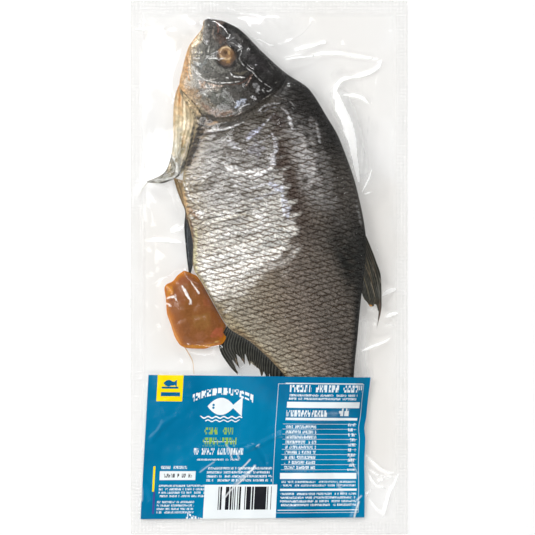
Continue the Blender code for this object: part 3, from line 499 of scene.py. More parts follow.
# How each fin is made: its lines, rays, rows of points, seed and half thickness; how unequal its rays are
# (ragged), how deep the gaps between their tips (notch), how bright the skin between them (web) and how far
# they reach, by the share of the way along the fin; and colours from the root to the tips, and marks.
FINS = {
    "dorsal_fin": {
        "lines": DORSAL_FIN, "rays": 13, "rows": 40,
        "seed": 3, "half": 0.75 * MM, "ragged": 0.03, "notch": 0.02, "web": 0.30, "colours": DARK_FIN,
        "reach": ((0, 1), (0.1, 0.90), (0.2, 0.95), (0.33, 1.0), (0.42, 0.95), (0.5, 0.93), (0.56, 0.99),
                  (0.8, 1.0), (0.9, 0.9), (1, 0.85)),
        "marks": (
            (((366.6, 304), (369, 306), (371.4, 305.6)), 1.9, 0.0, (206, 150, 78), 0.95),
            (((362.6, 297), (364.6, 300)), 0.9, 0.0, (190, 176, 146), 0.7),
            (((379.8, 279), (380.6, 282)), 0.8, 0.0, (206, 200, 190), 0.8),
            (((379.6, 300), (380, 312), (377.4, 327)), 1.4, 0.0, (112, 92, 82), 0.8),
            (((366, 258), (369, 268), (371, 278)), 0.8, 0.0, (112, 102, 82), 0.6),
            (((370, 256), (374, 266), (376, 276)), 0.8, 0.0, (96, 80, 66), 0.6),
            (((370, 281), (373, 290), (375, 298)), 0.8, 0.0, (150, 144, 132), 0.6),
            (((363, 281), (366, 290)), 0.8, 0.0, (128, 128, 126), 0.6),
            (((377, 284), (379.6, 298)), 2.0, 0.0, (116, 116, 112), 0.5),
            (((358, 262), (366, 285), (370, 300)), 0.7, 0.0, (126, 118, 96), 0.7),
            (((362, 258), (371, 280), (375, 298)), 0.7, 0.0, (118, 102, 82), 0.7),
            (((366, 256), (375, 276), (378, 292)), 0.9, 0.0, (32, 30, 27), 0.8),
            (((360, 266), (366, 290), (369, 303)), 0.9, 0.0, (30, 30, 26), 0.8),
            (((355, 266), (362, 286), (365, 298)), 1.1, 0.0, (30, 30, 27), 0.8),
            (((370, 262), (377, 280), (380, 296)), 0.7, 0.0, (138, 132, 120), 0.6),
        ),
    },
    "anal_fin": {
        "lines": ANAL_FIN, "rays": 27, "rows": 36,
        "seed": 5, "half": 0.75 * MM, "ragged": 0.03, "notch": 0.03, "web": 0.10,
        "colours": ((0.0, (64, 64, 58)), (0.3, (70, 71, 65)), (0.75, (78, 76, 68)), (1.0, (90, 80, 64))),
        "reach": ((0, 0.99), (0.03, 1.0), (0.07, 0.84), (0.09, 0.66), (0.105, 0.8), (0.125, 1.0), (0.16, 0.8),
                  (0.2, 0.55), (0.24, 0.66), (0.31, 1.0), (0.345, 0.5), (0.37, 0.72), (0.40, 0.98),
                  (0.43, 0.8), (0.47, 0.84), (0.53, 0.82), (0.56, 0.78), (0.585, 1.0), (0.61, 1.0),
                  (0.645, 0.68), (0.67, 0.72), (0.70, 1.0), (0.72, 0.9), (0.735, 0.45), (0.76, 0.8),
                  (0.79, 1.0), (1, 1.0)),
        "marks": (
            (((237.4, 373), (238.6, 375.6)), 0.9, 0.0, (140, 100, 72), 0.8),
            (((235.6, 358), (237, 364)), 1.0, 0.0, (150, 132, 112), 0.6),
            (((242.6, 358), (243.6, 362)), 1.0, 0.0, (120, 98, 78), 0.7),
            (((251, 362), (253.6, 366.6), (256.4, 369)), 2.0, 0.0, (206, 200, 178), 0.8),
            (((248.4, 361), (249.4, 364.6)), 1.0, 0.0, (150, 134, 112), 0.6),
            (((222, 330), (224.6, 338)), 1.2, 0.0, (36, 38, 42), 0.6),
        ),
    },
    "tail_fin": {
        "lines": TAIL_FIN, "rays": 16, "rows": 40,
        "seed": 7, "half": 0.75 * MM, "ragged": 0.10, "notch": 0.08, "web": 0.45, "colours": DARK_FIN,
    },
    "pectoral_fin": {
        "lines": PECTORAL_FIN, "rays": 7, "rows": 90,
        "seed": 9, "half": 0.9 * MM, "ragged": 0.0, "notch": 0.0, "web": 0.84,
        "colours": (
            (0.0, (216, 178, 132)), (0.2, (228, 206, 170)), (0.38, (208, 192, 158)), (0.5, (180, 168, 138)),
            (0.62, (134, 126, 104)), (0.75, (116, 112, 98)), (0.9, (150, 148, 138)), (1.0, (176, 174, 164)),
        ),
        "marks": (
            (((178.6, 88), (179.6, 96), (180, 104)), 1.9, 0.0, (206, 142, 76), 0.85),
            (((175, 100), (174.8, 116), (174.6, 128)), 1.6, 0.0, (226, 192, 150), 0.7),
            # a painted highlight down the fin
            (((184.6, 97), (184.4, 110), (184.6, 122), (184, 130)), 1.6, 0.4, (254, 240, 208), 0.95),
            (((188.6, 106), (190, 112), (192, 118)), 2.6, 0.0, (206, 186, 150), 0.7),
            (((184, 134), (183.4, 141), (181, 149)), 1.7, 0.0, (184, 142, 84), 0.85),
            (((184, 146), (181, 154), (178.4, 160)), 1.2, 0.0, (112, 104, 76), 0.8),
            (((176.4, 138), (176, 148), (177, 156)), 2.2, 0.0, (206, 202, 182), 0.8),
            (((187, 136), (186, 146), (183, 158), (181, 166)), 1.3, 0.0, (176, 156, 122), 0.7),
            (((200.4, 119), (196.4, 124), (192.6, 134), (190.6, 146), (187.4, 158), (182.4, 168), (179, 174)),
             2.0, -0.4, (34, 34, 36), 0.95),
            (((196, 118), (193.4, 126), (190.8, 137)), 1.0, 0.0, (96, 92, 86), 0.8),
            (((199, 126), (195.6, 136), (192.6, 146)), 1.2, 0.0, (110, 80, 46), 0.6),
            (((172, 156), (168.4, 166), (166, 174)), 3.4, 0.0, (88, 82, 68), 0.9),
            (((170.8, 163), (168.8, 172)), 1.1, 0.2, (198, 180, 142), 0.8),
            (((171.6, 153), (169.4, 162), (166, 170), (163.2, 176.4)), 1.1, 0.0, (52, 48, 42), 0.95),
            (((182.6, 142), (180.6, 150), (177.6, 160)), 2.0, 0.0, (104, 98, 74), 0.7),
            (((170, 164), (168.6, 169), (166.6, 174)), 0.9, 0.0, (176, 160, 128), 0.7),
            (((172.6, 157), (176, 163), (177.6, 170), (175.6, 176), (169, 179), (161, 180), (152, 180)),
             1.8, 0.5, (214, 214, 210), 1.0),
            (((160, 183.6), (168, 181.4), (176, 178.4), (179.6, 173.6)), 1.7, -0.3, (40, 38, 36), 0.95),
            (((147, 182), (154, 180.4), (162, 180)), 2.2, 0.0, (120, 118, 110), 0.7),
            (((149, 181.4), (154, 179), (160, 179.6)), 0.9, 0.3, (176, 174, 166), 0.8),
        ),
    },
    "pelvic_fin": {
        "lines": PELVIC_FIN, "rays": 4, "rows": 50,
        "seed": 13, "half": 0.9 * MM, "ragged": 0.0, "notch": 0.0, "web": 0.6,
        "colours": (
            (0.0, (160, 138, 104)), (0.18, (148, 122, 86)), (0.34, (108, 86, 62)), (0.42, (84, 62, 44)),
            (0.52, (52, 54, 58)), (0.8, (40, 46, 50)), (1.0, (54, 56, 56)),
        ),
        "marks": (
            # a painted blue highlight
            (((187.6, 224), (188, 244), (189, 262)), 0.8, 0.3, (112, 120, 126), 0.7),
            (((186, 216), (188, 219)), 1.0, 0.2, (170, 130, 90), 0.6),
        ),
    },
}

ROE_SPOKES = 192
ROE_RINGS = 46
ROE_BASE = 1.8 * MM
ROE_THICKNESS = 11 * MM
ROE_EDGE_SHARE = 0.35  # of its thickness, below its edge
ROE_GAP = 0.4 * MM
ROE_RIDE = 3.4 * MM  # how far its corner rides up over the front of the anal fin
ROE_RIDE_REACH = 24 * MM
ROE_RIDE_MIDDLE = (224.2, 342.1)
ROE_MIDDLE = (194.4, 311.2)
ROE_EDGE = (
    (184.2, 270.4), (177.6, 275.4), (172.6, 281.4), (166.6, 284.4), (164.4, 289), (165.8, 298), (166.8, 312),
    (171, 325), (175, 337), (181.6, 346), (190, 348.4), (203, 348.8), (212.6, 346.2), (221, 344.4),
    (226, 337), (226, 325), (219.6, 309), (212, 292), (202.6, 279), (192, 273.6),
)
ROE_COLOUR_REACH = 18 * MM
ROE_COLOURS = (  # by the distance from its edge, in shares of that reach
    (0.0, (192, 118, 30)), (0.12, (172, 102, 34)), (0.28, (146, 88, 45)), (0.5, (140, 88, 52)),
    (1.0, (137, 88, 49)),
)
ROE_MARKS_AND_GLINTS = (
    (((168, 286.4), (170.6, 290), (169, 296)), 3.4, 0.3, (208, 136, 34), 0.85),
    (((175, 281), (181, 276), (186, 276)), 2.2, 0.0, (176, 106, 40), 0.7),
    (((180, 284), (186, 279), (194, 279.6)), 5.0, 0.0, (140, 78, 48), 0.6),
    (((176, 290), (181, 296), (184, 304)), 4.0, 0.0, (142, 84, 50), 0.55),
    (((194, 318), (202, 322), (208, 314)), 8.0, 0.0, (144, 102, 56), 0.7),
    (((186, 322), (188, 334)), 4.0, 0.0, (136, 88, 58), 0.6),
    (((212, 336), (220, 331), (221, 336)), 4.6, 0.2, (172, 92, 66), 0.8),
    (((204, 300), (209, 306)), 4.0, 0.0, (160, 92, 62), 0.6),
    (((196, 336), (206, 336)), 5.0, 0.0, (156, 102, 72), 0.6),
    (((170, 318), (174, 332), (181, 344)), 1.8, 0.2, (204, 140, 72), 0.7),
    (((184, 346), (196, 346.4), (206, 346), (214, 344)), 1.9, 0.2, (206, 136, 26), 0.9),
    (((214, 342.6), (219, 341)), 1.4, 0.2, (196, 160, 92), 0.8),
    # painted highlights: the near-white streaks where the film over the roe mirrors the light
    (((182.4, 286), (185, 290.4), (187.8, 296), (190.6, 299.8)), 2.0, 0.6, (255, 250, 248), 1.0),
    (((190.6, 298.6), (191, 302), (189.6, 304.4)), 1.7, 0.4, (255, 248, 244), 0.95),
    (((190.4, 280.6), (193.8, 285.6), (198.4, 291.6)), 1.2, 0.4, (252, 240, 232), 0.95),
    (((196.8, 289.4), (199.4, 293.4)), 1.6, 0.4, (255, 248, 244), 0.95),
    (((192, 281), (195.6, 282.4), (199.4, 284)), 0.7, 0.3, (204, 154, 132), 0.8),
    (((166.0, 298.8), (171, 297.2), (175.2, 296.8), (176.4, 301)), 1.5, 0.5, (255, 248, 244), 0.97),
    (((175.6, 294.2), (176, 297)), 0.8, 0.3, (246, 232, 226), 0.85),
    (((166.2, 303.2), (168.8, 304.4), (171.2, 306.6)), 1.5, 0.4, (252, 240, 234), 0.95),
    (((168, 300.8), (174, 300)), 0.9, -0.4, (116, 58, 40), 0.8),
)

# Thin things over the sheet: name, points in the photograph, radius at the root in mm, colour.
THREADS = (
    ("roe_thread", ((184, 346), (189, 354), (193, 363), (194, 374)), 0.45, (206, 160, 96)),
    ("fin_wisp", ((149, 181), (145, 186), (141, 192), (139, 197)), 0.5, (206, 204, 194)),
    ("fin_spike", ((174, 160), (172.5, 157), (171.4, 154)), 0.7, (60, 54, 48)),
)

# Wrinkles of the film: (points in the photograph, half width in pixels, rise in mm, whiteness). The whiteness
# is a milky crease with a painted highlight.
FILM_WRINKLES = (
    (((135, 28.6), (150, 29), (164, 27.6)), 1.2, 0.9, 0.9),
    (((150, 33), (160, 31), (170, 26), (180, 18), (192, 10)), 3.0, 0.8, 0.12),
    (((192, 10), (204, 8), (214, 9)), 2.2, 0.6, 0.2),
    (((189, 23), (196, 23.4)), 1.7, 0.7, 1.0),
    (((200, 19.6), (203, 27)), 0.8, 0.5, 0.95),
    (((208, 17), (210, 19)), 1.2, 0.5, 0.95),
    (((222, 10), (232, 13.4), (242, 13), (252, 11)), 1.2, 0.8, 0.5),
    (((266, 19), (276, 18), (286, 21)), 2.2, 0.6, 0.45),
    (((251, 37.4), (262, 41), (270, 45.4), (276, 46.4)), 0.9, 0.9, 0.95),
    (((276, 46.4), (286, 43), (298, 37), (306, 30), (312, 23)), 0.8, 0.7, 0.55),
    (((295, 51), (305, 48), (316, 45), (323, 42)), 1.3, 0.9, 0.9),
    (((322, 42.4), (326, 42)), 1.9, 0.7, 0.9),
    (((284, 60), (296, 58), (310, 56.6)), 1.1, 0.9, 0.95),
    (((310, 56.6), (324, 54), (340, 53.6), (354, 56), (368, 58), (380, 60)), 1.2, 1.2, 0.9),
    (((381, 61), (379, 66), (372, 71), (362, 75), (350, 78)), 1.9, 1.3, 0.95),
    (((350, 77.6), (342, 79.6), (338, 84), (335, 90), (334.4, 98)), 2.3, 1.3, 0.95),
    (((328, 72.6), (333, 76), (336, 80)), 1.0, 0.8, 0.5),
    (((343, 95), (352, 95.4), (362, 98), (369, 104)), 1.7, 0.9, 0.95),
    (((335, 92), (340, 106), (346, 122), (351, 138), (355, 154)), 5.0, 1.0, 1.0),
    (((346, 110), (350, 118), (352, 128), (354, 138)), 1.6, 0.6, 0.6),
    (((346, 126), (353, 150), (356, 166), (358.6, 182)), 2.8, 1.4, 0.95),
    (((369, 116), (367, 136), (363, 156), (361, 176)), 0.9, 0.7, 0.55),
    (((372, 168), (369, 178), (364, 188), (361, 194)), 1.3, 0.9, 0.75),
    (((380, 66), (378, 80), (374, 98), (371, 112)), 1.2, 0.5, 0.25),
    (((364, 194.4), (368, 193), (371, 192.4)), 1.0, 0.7, 0.9),
    (((146, 241.6), (158, 240.6), (170, 241.6), (182, 243)), 1.1, 0.8, 0.85),
    (((172, 232), (178, 229.4), (184, 226)), 2.4, 0.8, 0.75),
    (((184, 268), (186, 271)), 1.0, 0.4, 0.9),
    (((149, 196), (156, 206), (168, 216)), 1.4, 0.5, 0.2),
    (((375.8, 244), (377, 250), (378.6, 256)), 0.7, 0.5, 0.7),
    (((379, 266), (380.6, 270)), 0.8, 0.4, 0.8),
    (((382, 296), (388, 291.6), (396, 289)), 1.9, 0.9, 1.0),
    (((386, 317), (392, 314), (398, 313)), 2.4, 0.8, 0.85),
    (((384, 324), (392, 325), (398, 327)), 1.5, 0.5, 0.6),
    (((362, 351), (372, 346.6), (384, 342), (390, 338)), 1.4, 1.0, 0.9),
    (((366, 455), (374, 463), (382, 470), (390, 473), (398, 473.6)), 1.0, 1.3, 0.95),
    (((364, 462), (372, 471), (382, 476), (394, 477)), 0.8, 1.1, 0.85),
    (((368, 471), (372, 480), (378, 486), (386, 488)), 1.2, 1.0, 0.8),
    (((398, 474), (394, 484), (389, 494), (386, 506), (383, 518)), 1.2, 1.3, 0.9),
    (((370, 500), (376, 508), (382, 512), (386, 507)), 1.1, 1.0, 0.85),
    (((366, 500), (369, 492), (374, 488)), 0.8, 0.8, 0.6),
    (((391, 475), (384, 479), (378, 483)), 2.6, 0.6, 0.5),
)
# Broad patches, as (points, half width in pixels, strength), where the film is milky white: painted light
# that lightens its shaded parts and stands for broad reflections.
FILM_PAINTED_GLOW = (
    (((153, 84), (152, 108), (150, 128)), 26.0, 0.10),
    (((340, 74), (352, 84), (356, 96)), 12.0, 0.15),
    (((340, 98), (349, 118), (355, 140), (360, 170)), 15.0, 0.55),
    (((352, 110), (362, 150), (370, 192)), 24.0, 0.14),
    (((364, 324), (362, 350), (364, 376)), 10.0, 0.35),
    (((270, 12), (286, 22)), 16.0, 0.12),
)
# Patches where the film mirrors less.
FILM_CALM = (
    (((181, 282), (193, 308), (206, 336)), 27.0, 0.80),
    (((222, 334), (242, 352), (262, 366), (285, 374)), 13.0, 0.70),
    (((364, 238), (372, 262), (377, 292)), 12.0, 0.60),
    (((240, 34), (258, 60), (282, 88), (312, 122)), 17.0, 0.55),
    (((346, 228), (352, 260), (355, 300), (353, 340)), 12.0, 0.50),
)
# Patches where the film is greyer: painted shade.
FILM_PAINTED_SHADE = (
    (((152, 222), (155, 262), (158, 312), (166, 345)), 30.0, 0.60),
    (((372, 200), (378, 240), (376, 300), (372, 350), (377, 400), (378, 450)), 40.0, 0.75),
    (((158, 330), (190, 358), (215, 362)), 26.0, 0.25),
    (((150, 35), (170, 38), (186, 42)), 12.0, 0.55),
    (((326, 20), (345, 40), (362, 90)), 60.0, 0.35),
)

# Creases of the label: (points in the photograph, half width in pixels, rise in mm).
LABEL_CREASES = (
    (((282, 434), (268, 440), (256, 446), (244, 450)), 2.4, 1.0),
    (((256, 446), (246, 444), (236, 446)), 1.8, 0.7),
    (((256, 446), (262, 454), (266, 462)), 1.8, -0.6),
    (((223, 495), (236, 482), (248, 474), (256, 468)), 2.6, 0.9),
    (((228, 450), (232, 459)), 1.6, 0.8),
    (((236, 450), (238, 459)), 1.4, 0.7),
    (((352, 519), (356, 508), (359, 500)), 2.4, 1.0),
    (((140, 480), (150, 490), (152, 500)), 2.8, 0.9),
    (((166, 400), (180, 396), (200, 398)), 2.0, 0.5),
    (((282, 436), (300, 430), (318, 428)), 2.0, 0.6),
    (((356, 384), (360, 400), (356, 420), (352, 450)), 2.4, 0.6),
    (((152, 440), (164, 424), (176, 416)), 2.4, 0.6),
    (((204, 470), (222, 466), (240, 466), (262, 470)), 2.2, 0.6),
    (((318, 430), (340, 446), (352, 462)), 2.4, 0.5),
)

WHITE_INK = (238, 244, 246)
YELLOW_INK = (252, 224, 12)
LEAF_INK = (150, 190, 70)
BLUE_INK = (8, 98, 146)
BLACK_INK = (34, 34, 40)
VIOLET_INK = (70, 78, 150)
LABEL_BLUE = (0, 124, 168)
LABEL_DEEP_BLUE = (0, 104, 148)

# Print: solid fields as (left, top, right, bottom, ink), and rows of greeked lettering as (left, top,
# right, bottom, height of a row, share of it that is inked, width of a letter, ink). In pixels.
FIELDS = (
    (157.0, 372.0, 182.5, 402.0, YELLOW_INK),
    (161.5, 387.5, 178.0, 389.5, BLUE_INK),
    (160.5, 393.0, 179.5, 397.0, BLUE_INK),
    (165.0, 382.5, 174.0, 386.5, BLUE_INK),
    (202.0, 441.8, 234.0, 442.4, WHITE_INK),
    (158.6, 471.0, 194.0, 479.8, WHITE_INK),
    (203.0, 485.0, 275.0, 520.0, WHITE_INK),
    (151.5, 466.0, 153.5, 491.0, YELLOW_INK),
    (151.0, 491.0, 153.0, 513.0, VIOLET_INK),
    (286.5, 402.5, 361.0, 408.5, WHITE_INK),
    (285.5, 418.5, 359.5, 421.0, WHITE_INK),
    (280.0, 474.0, 357.5, 480.0, WHITE_INK),
    (280.0, 489.8, 357.0, 492.0, WHITE_INK),
    (284.5, 383.5, 363.0, 384.2, WHITE_INK),
    (277.5, 511.0, 358.0, 511.7, WHITE_INK),
)
LETTERING = (
    (202.0, 428.0, 232.0, 436.0, 8.0, 0.85, 4.6, LEAF_INK),
    (202.0, 438.0, 236.0, 446.5, 8.0, 0.85, 4.0, LEAF_INK),
    (192.0, 448.5, 242.0, 457.5, 9.0, 0.72, 2.6, WHITE_INK),
    (196.0, 459.0, 238.0, 462.0, 3.0, 0.60, 1.5, WHITE_INK),
    (160.0, 465.8, 186.0, 469.8, 4.0, 0.75, 1.5, WHITE_INK),
    (162.5, 473.5, 190.5, 478.0, 4.5, 0.85, 2.2, BLACK_INK),
    (157.5, 484.5, 204.0, 497.5, 3.4, 0.60, 1.3, WHITE_INK),
    (155.5, 500.5, 192.0, 513.5, 3.4, 0.60, 1.3, WHITE_INK),
    (206.0, 467.5, 271.0, 482.5, 4.0, 0.58, 1.4, WHITE_INK),
    (289.0, 385.5, 362.5, 393.5, 8.0, 0.90, 4.0, WHITE_INK),
    (288.5, 394.8, 358.0, 401.6, 3.5, 0.62, 1.5, WHITE_INK),
    (286.0, 410.8, 327.5, 419.0, 8.0, 0.80, 3.4, WHITE_INK),
    (339.0, 409.0, 360.5, 417.6, 9.0, 0.86, 5.6, WHITE_INK),
    (285.0, 426.0, 316.0, 472.0, 5.1, 0.60, 1.6, WHITE_INK),
    (350.0, 424.0, 357.5, 472.0, 5.1, 0.60, 1.8, WHITE_INK),
    (281.0, 482.0, 356.0, 489.0, 3.6, 0.55, 1.5, WHITE_INK),
    (280.0, 494.0, 356.0, 508.5, 3.7, 0.58, 1.4, WHITE_INK),
)
RULES = (282.0, 424.6, 358.5, 471.0, 5.1)  # thin lines between the rows: box, and from one to the next
BARCODE = (216.0, 487.0, 270.0, 510.0)
BARCODE_BAR = 0.9

BADGE_CENTRE = (223.5, 405.0)
BADGE_FISH = (222.0, 406.5)
ARCH_RADIUS = 52.0  # of the arch of blocks over the badge's fish, whose middle lies this far below the centre
ARCH_LETTER = 5.4
TAB_FISH = (169.0, 384.0)
PANEL = (277.6, 383.0, 364.6, 513.0)  # of the flat print: the outline of the table on the right
PANEL_LINE = 0.5

# Colours of clear and plain materials, in linear light.
FILM_TINT = (0.998, 0.996, 0.991, 1.0)
# A greyer tint: painted shade on the film around the fish.
FILM_SHADE_TINT = (0.974, 0.964, 0.948, 1.0)
FILM_MIRROR = 0.035  # share of the light from straight above that one film mirrors
FILM_ROUGHNESS = 0.11
EMBOSS_PITCH = 2400.0  # turns of the seals' embossing, in radians per metre
MILK = (0.90, 0.90, 0.895, 1.0)
# Milk brighter than white: the painted highlight of the film's creases.
CREST_MILK = (1.22, 1.22, 1.21, 1.0)
MILK_BACKLIT = 0.4  # share of a crease's light that shines through it
SEAL_WHITENESS = 0.24
GLARE = (0.93, 0.95, 0.96, 1.0)
WHITE = (1.0, 1.0, 1.0, 1.0)
FLOOR_WHITE = 0.95
FLOOR_SPECK = 0.01
FLOOR_GLOW = 0.28  # share of the table's light that comes from behind its white surface
FLOOR_BACKLIGHT = 1.04
FLOOR_HALF = 20.0
FLOOR_DROP = 0.2 * MM

ROOM_LOW = 0.8  # brightness of the room near the horizon, half way up and overhead
ROOM_MIDDLE = 0.42
ROOM_TOP = 0.05
ROOM_LEFT = 1.2  # and how much brighter or darker it is on the belly's and the back's side
ROOM_RIGHT = 0.5
LIGHTS = (  # (name, direction, size, radiance)
    ("left_softbox", (-1.00, 0.35, 1.00), (1.6, 3.2), 4.6),
    ("high_strip", (-0.62, 0.34, 1.20), (0.5, 3.0), 5.0),
    ("head_light", (0.20, 1.40, 0.95), (1.5, 0.4), 24.0),
    ("foot_light", (0.10, -1.50, 0.95), (1.5, 0.4), 18.5),
)
LIGHT_DISTANCE = 3.8
CAMERA_HEIGHT = 8.0
SENSOR_WIDTH = 36.0


# ---------------------------------------------------------------- numbers and shapes


def from_photo(points):
    """Places in the pack of pixels of the photograph."""
    rel = (np.asarray(points, float) - PHOTO_MIDDLE) * PIXEL
    return rel * (1, -1)


def to_photo(places):
    """Pixels of the photograph over places in the pack."""
    return np.asarray(places, float) * (1, -1) / PIXEL + PHOTO_MIDDLE


def linear(colour):
    """An 8-bit sRGB colour as linear light."""
    share = np.asarray(colour, float) / 255
    return np.where(share <= 0.04045, share / 12.92, ((share + 0.055) / 1.055) ** 2.4)


def smooth_line(points, at):
    """Values of a smooth line through points, which never swings past them (monotone cubic)."""
    x, y = np.array(points, float).T
    step = np.diff(x)
    slope = np.diff(y) / step
    same_way = slope[:-1] * slope[1:] > 0
    inner = np.zeros(len(same_way))
    inner[same_way] = 2 / (1 / slope[:-1][same_way] + 1 / slope[1:][same_way])
    tangent = np.concatenate([[slope[0]], inner, [slope[-1]]])
    at = np.clip(at, x[0], x[-1])
    i = np.clip(np.searchsorted(x, at, side="right") - 1, 0, len(step) - 1)
    t = (at - x[i]) / step[i]
    start = y[i] * (1 + 2 * t) * (1 - t) ** 2 + tangent[i] * step[i] * t * (1 - t) ** 2
    end = y[i + 1] * t**2 * (3 - 2 * t) - tangent[i + 1] * step[i] * t**2 * (1 - t)
    return start + end


def smooth_row(points, at):
    """Points along a smooth line through a row of points, for shares of the row from 0 to 1."""
    run = np.linspace(0, 1, len(points))
    return np.stack([smooth_line(np.column_stack([run, values]), at) for values in np.transpose(points)], 1)


def colour_line(stops, at):
    """Linear colours between (position, 8-bit colour) stops."""
    positions = [position for position, _ in stops]
    colours = np.array([linear(colour) for _, colour in stops])
    return np.stack([np.interp(at, positions, colours[:, i]) for i in range(3)], -1)


def smooth_step(low, high, x):
    """0 up to the low limit, 1 from the high one, and smooth between them; the limits may fall."""
    t = np.clip((x - low) / (high - low), 0, 1)
    return t * t * (3 - 2 * t)


def soft_bump(x):
    """1 at 0, falling to exactly 0 at 1 and beyond."""
    return np.maximum(0, 1 - np.square(x)) ** 2


def ripples(places, size, seed, count=18):
    """Smooth noise, mostly between -1 and 1, with features of about the given size."""
    draw = np.random.default_rng(seed)
    turns = draw.uniform(0, 2 * math.pi, count)
    waves = 2 * math.pi / (size * draw.uniform(1.0, 2.6, count))
    phases = draw.uniform(0, 2 * math.pi, count)
    directions = np.stack([np.cos(turns) * waves, np.sin(turns) * waves])
    return np.cos(places @ directions + phases).sum(-1) / math.sqrt(count)


def layered(places, layers):
    """The sum of layers of ripples: (strength, size, seed) of each."""
    return sum(strength * ripples(places, size, seed) for strength, size, seed in layers)


def around(value, span):
    """1 at the middle of a span, (middle, reach), falling to 0 at its reach and beyond."""
    middle, reach = span
    return soft_bump((value - middle) / reach)


def along_line(points, at):
    """(distance, share of the way) of the nearest place on an open line of straight runs, or on a point."""
    points = np.array(points, float)
    if len(points) == 1:
        return np.linalg.norm(at - points[0], axis=-1), np.full(at.shape[:-1], 0.5)
    passed = np.concatenate([[0], np.cumsum(np.linalg.norm(np.diff(points, axis=0), axis=1))])
    best, share = np.full(at.shape[:-1], np.inf), np.zeros(at.shape[:-1])
    for a, b, done in zip(points[:-1], points[1:], passed):
        run = b - a
        t = np.clip(((at - a) @ run) / (run @ run), 0, 1)
        gap = np.linalg.norm(at - a - t[..., None] * run, axis=-1)
        share = np.where(gap < best, (done + t * math.hypot(*run)) / passed[-1], share)
        best = np.minimum(best, gap)
    return best, share


def distance_to_line(points, at):
    """Distance of the nearest place on an open line of straight runs, or on a point."""
    return along_line(points, at)[0]


def tapered(share):
    """Width along a stroke: full in the middle and narrow at its ends."""
    return 1 - 0.62 * np.abs(2 * share - 1) ** 2.5


def curved(points, runs=4):
    """A line through the same points with its corners rounded."""
    if len(points) < 3:
        return np.array(points, float)
    return smooth_row(points, np.linspace(0, 1, runs * (len(points) - 1) + 1))


def grid_places(across, along):
    """The places of a regular grid, in an array of its shape."""
    return np.stack(np.meshgrid(across, along, indexing="ij"), -1)


# ---------------------------------------------------------------- the fish's form

ALONG = np.array([math.sin(BODY_LEAN), -math.cos(BODY_LEAN)])
ACROSS = np.array([math.cos(BODY_LEAN), math.sin(BODY_LEAN)])


def spine_sway(station):
    """How far the tail swings towards the belly."""
    return -TAIL_BEND * np.square(np.maximum(0, station - TAIL_BEND_START))


def to_pack(station, offset):
    """Places in the pack of points in the fish's frame."""
    station = np.asarray(station, float)
    offset = offset + spine_sway(station)
    return SNOUT + BODY_LENGTH * (station[..., None] * ALONG + offset[..., None] * ACROSS)


def to_fish(places):
    """(stations, offsets) of places in the pack."""
    rel = (np.asarray(places, float) - SNOUT) / BODY_LENGTH
    station = rel @ ALONG
    return station, rel @ ACROSS - spine_sway(station)


def half_width(station, offset):
    """Width of the body on the offset's side of its middle line."""
    return np.where(offset >= 0, smooth_line(BACK_LINE, station), smooth_line(BELLY_LINE, station))


def section(share):
    """Thickness across the body, from 1 at the middle line (share 0) to 0 at its edge (1 or -1)."""
    power = np.where(share >= 0, 2.5, 2.1)
    return np.maximum(0, 1 - np.abs(share) ** power) ** 0.72


def behind_gill(station, offset):
    """How far behind the gill cover's rear edge a place lies."""
    return station - smooth_line(GILL_COVER_REAR, offset)


def scaly_from(station, offset):
    """0 on the head, and 1 from a little behind the gill cover on."""
    return smooth_step(0.010, 0.026, behind_gill(station, offset))


def drawn_out(station, offset, squeeze):
    """Places on the fish, squeezed across it, so that noise over them is drawn out across the body."""
    return np.stack([station * BODY_LENGTH, squeeze * offset * BODY_LENGTH], -1)


def head_relief(station, offset):
    """Height added to the body by the gill cover, cheek, eye socket, nostril and mouth."""
    at = np.stack(np.broadcast_arrays(station, offset), -1)
    behind = behind_gill(station, offset)
    cover = GILL_COVER_STEP * smooth_step(0.006, -0.002, behind) * smooth_step(0.05, 0.16, station)
    groove = -GILL_GROOVE_DEPTH * soft_bump((behind - 0.008) / GILL_GROOVE_WIDTH)
    cheek_rear = CHEEK_REAR - CHEEK_BOW * (offset - CHEEK_MIDDLE) ** 2
    cheek = CHEEK_STEP * smooth_step(0.008, -0.002, station - cheek_rear) * smooth_step(0.04, 0.10, station)
    cheek = cheek * soft_bump((offset - CHEEK_MIDDLE / 2) / CHEEK_REACH)
    from_eye, from_nostril = (np.linalg.norm(at - middle, axis=-1) * BODY_LENGTH for middle in (EYE, NOSTRIL))
    socket = -EYE_SOCKET_DEPTH * soft_bump(from_eye / (1.35 * EYE_RADIUS))
    nostril = -NOSTRIL_DEPTH * soft_bump(from_nostril / NOSTRIL_RADIUS)
    mouth = -MOUTH_DEPTH * soft_bump(distance_to_line(MOUTH, at) * BODY_LENGTH / MOUTH_HALF_WIDTH)
    return cover + groove + cheek + socket + nostril + mouth


def scale_lattice(station, offset):
    """Places in the net of scales: across in widths of a scale, along in rows."""
    along = station * BODY_LENGTH
    across = offset * BODY_LENGTH / (1 - 0.16 * smooth_step(0.45, 0.95, station))
    places = np.stack([along, across], -1)
    x = (across - SCALE_SLIP * along) / SCALE_WIDTH
    y = (along - SCALE_LEAN * across) / SCALE_ROW
    x = x + 0.10 * ripples(places, 26 * MM, 11) + 0.03 * ripples(places, 9 * MM, 12)
    return x, y + 0.34 * ripples(places, 30 * MM, 13) + 0.10 * ripples(places, 9 * MM, 14)


def scale_height(x, y):
    """Height in the overlapping scales, from 0 just behind one scale's edge to 1 at the next edge."""
    depths = []
    for row in (0, 1):
        bulge = 1 - (2 * np.mod(x - 0.5 * row, 1) - 1) ** 2
        depths.append(np.mod(y - bulge - row, 2))
    near, ahead = np.minimum(*depths), 2 - np.maximum(*depths)
    return near / (near + ahead)


# ---------------------------------------------------------------- meshes


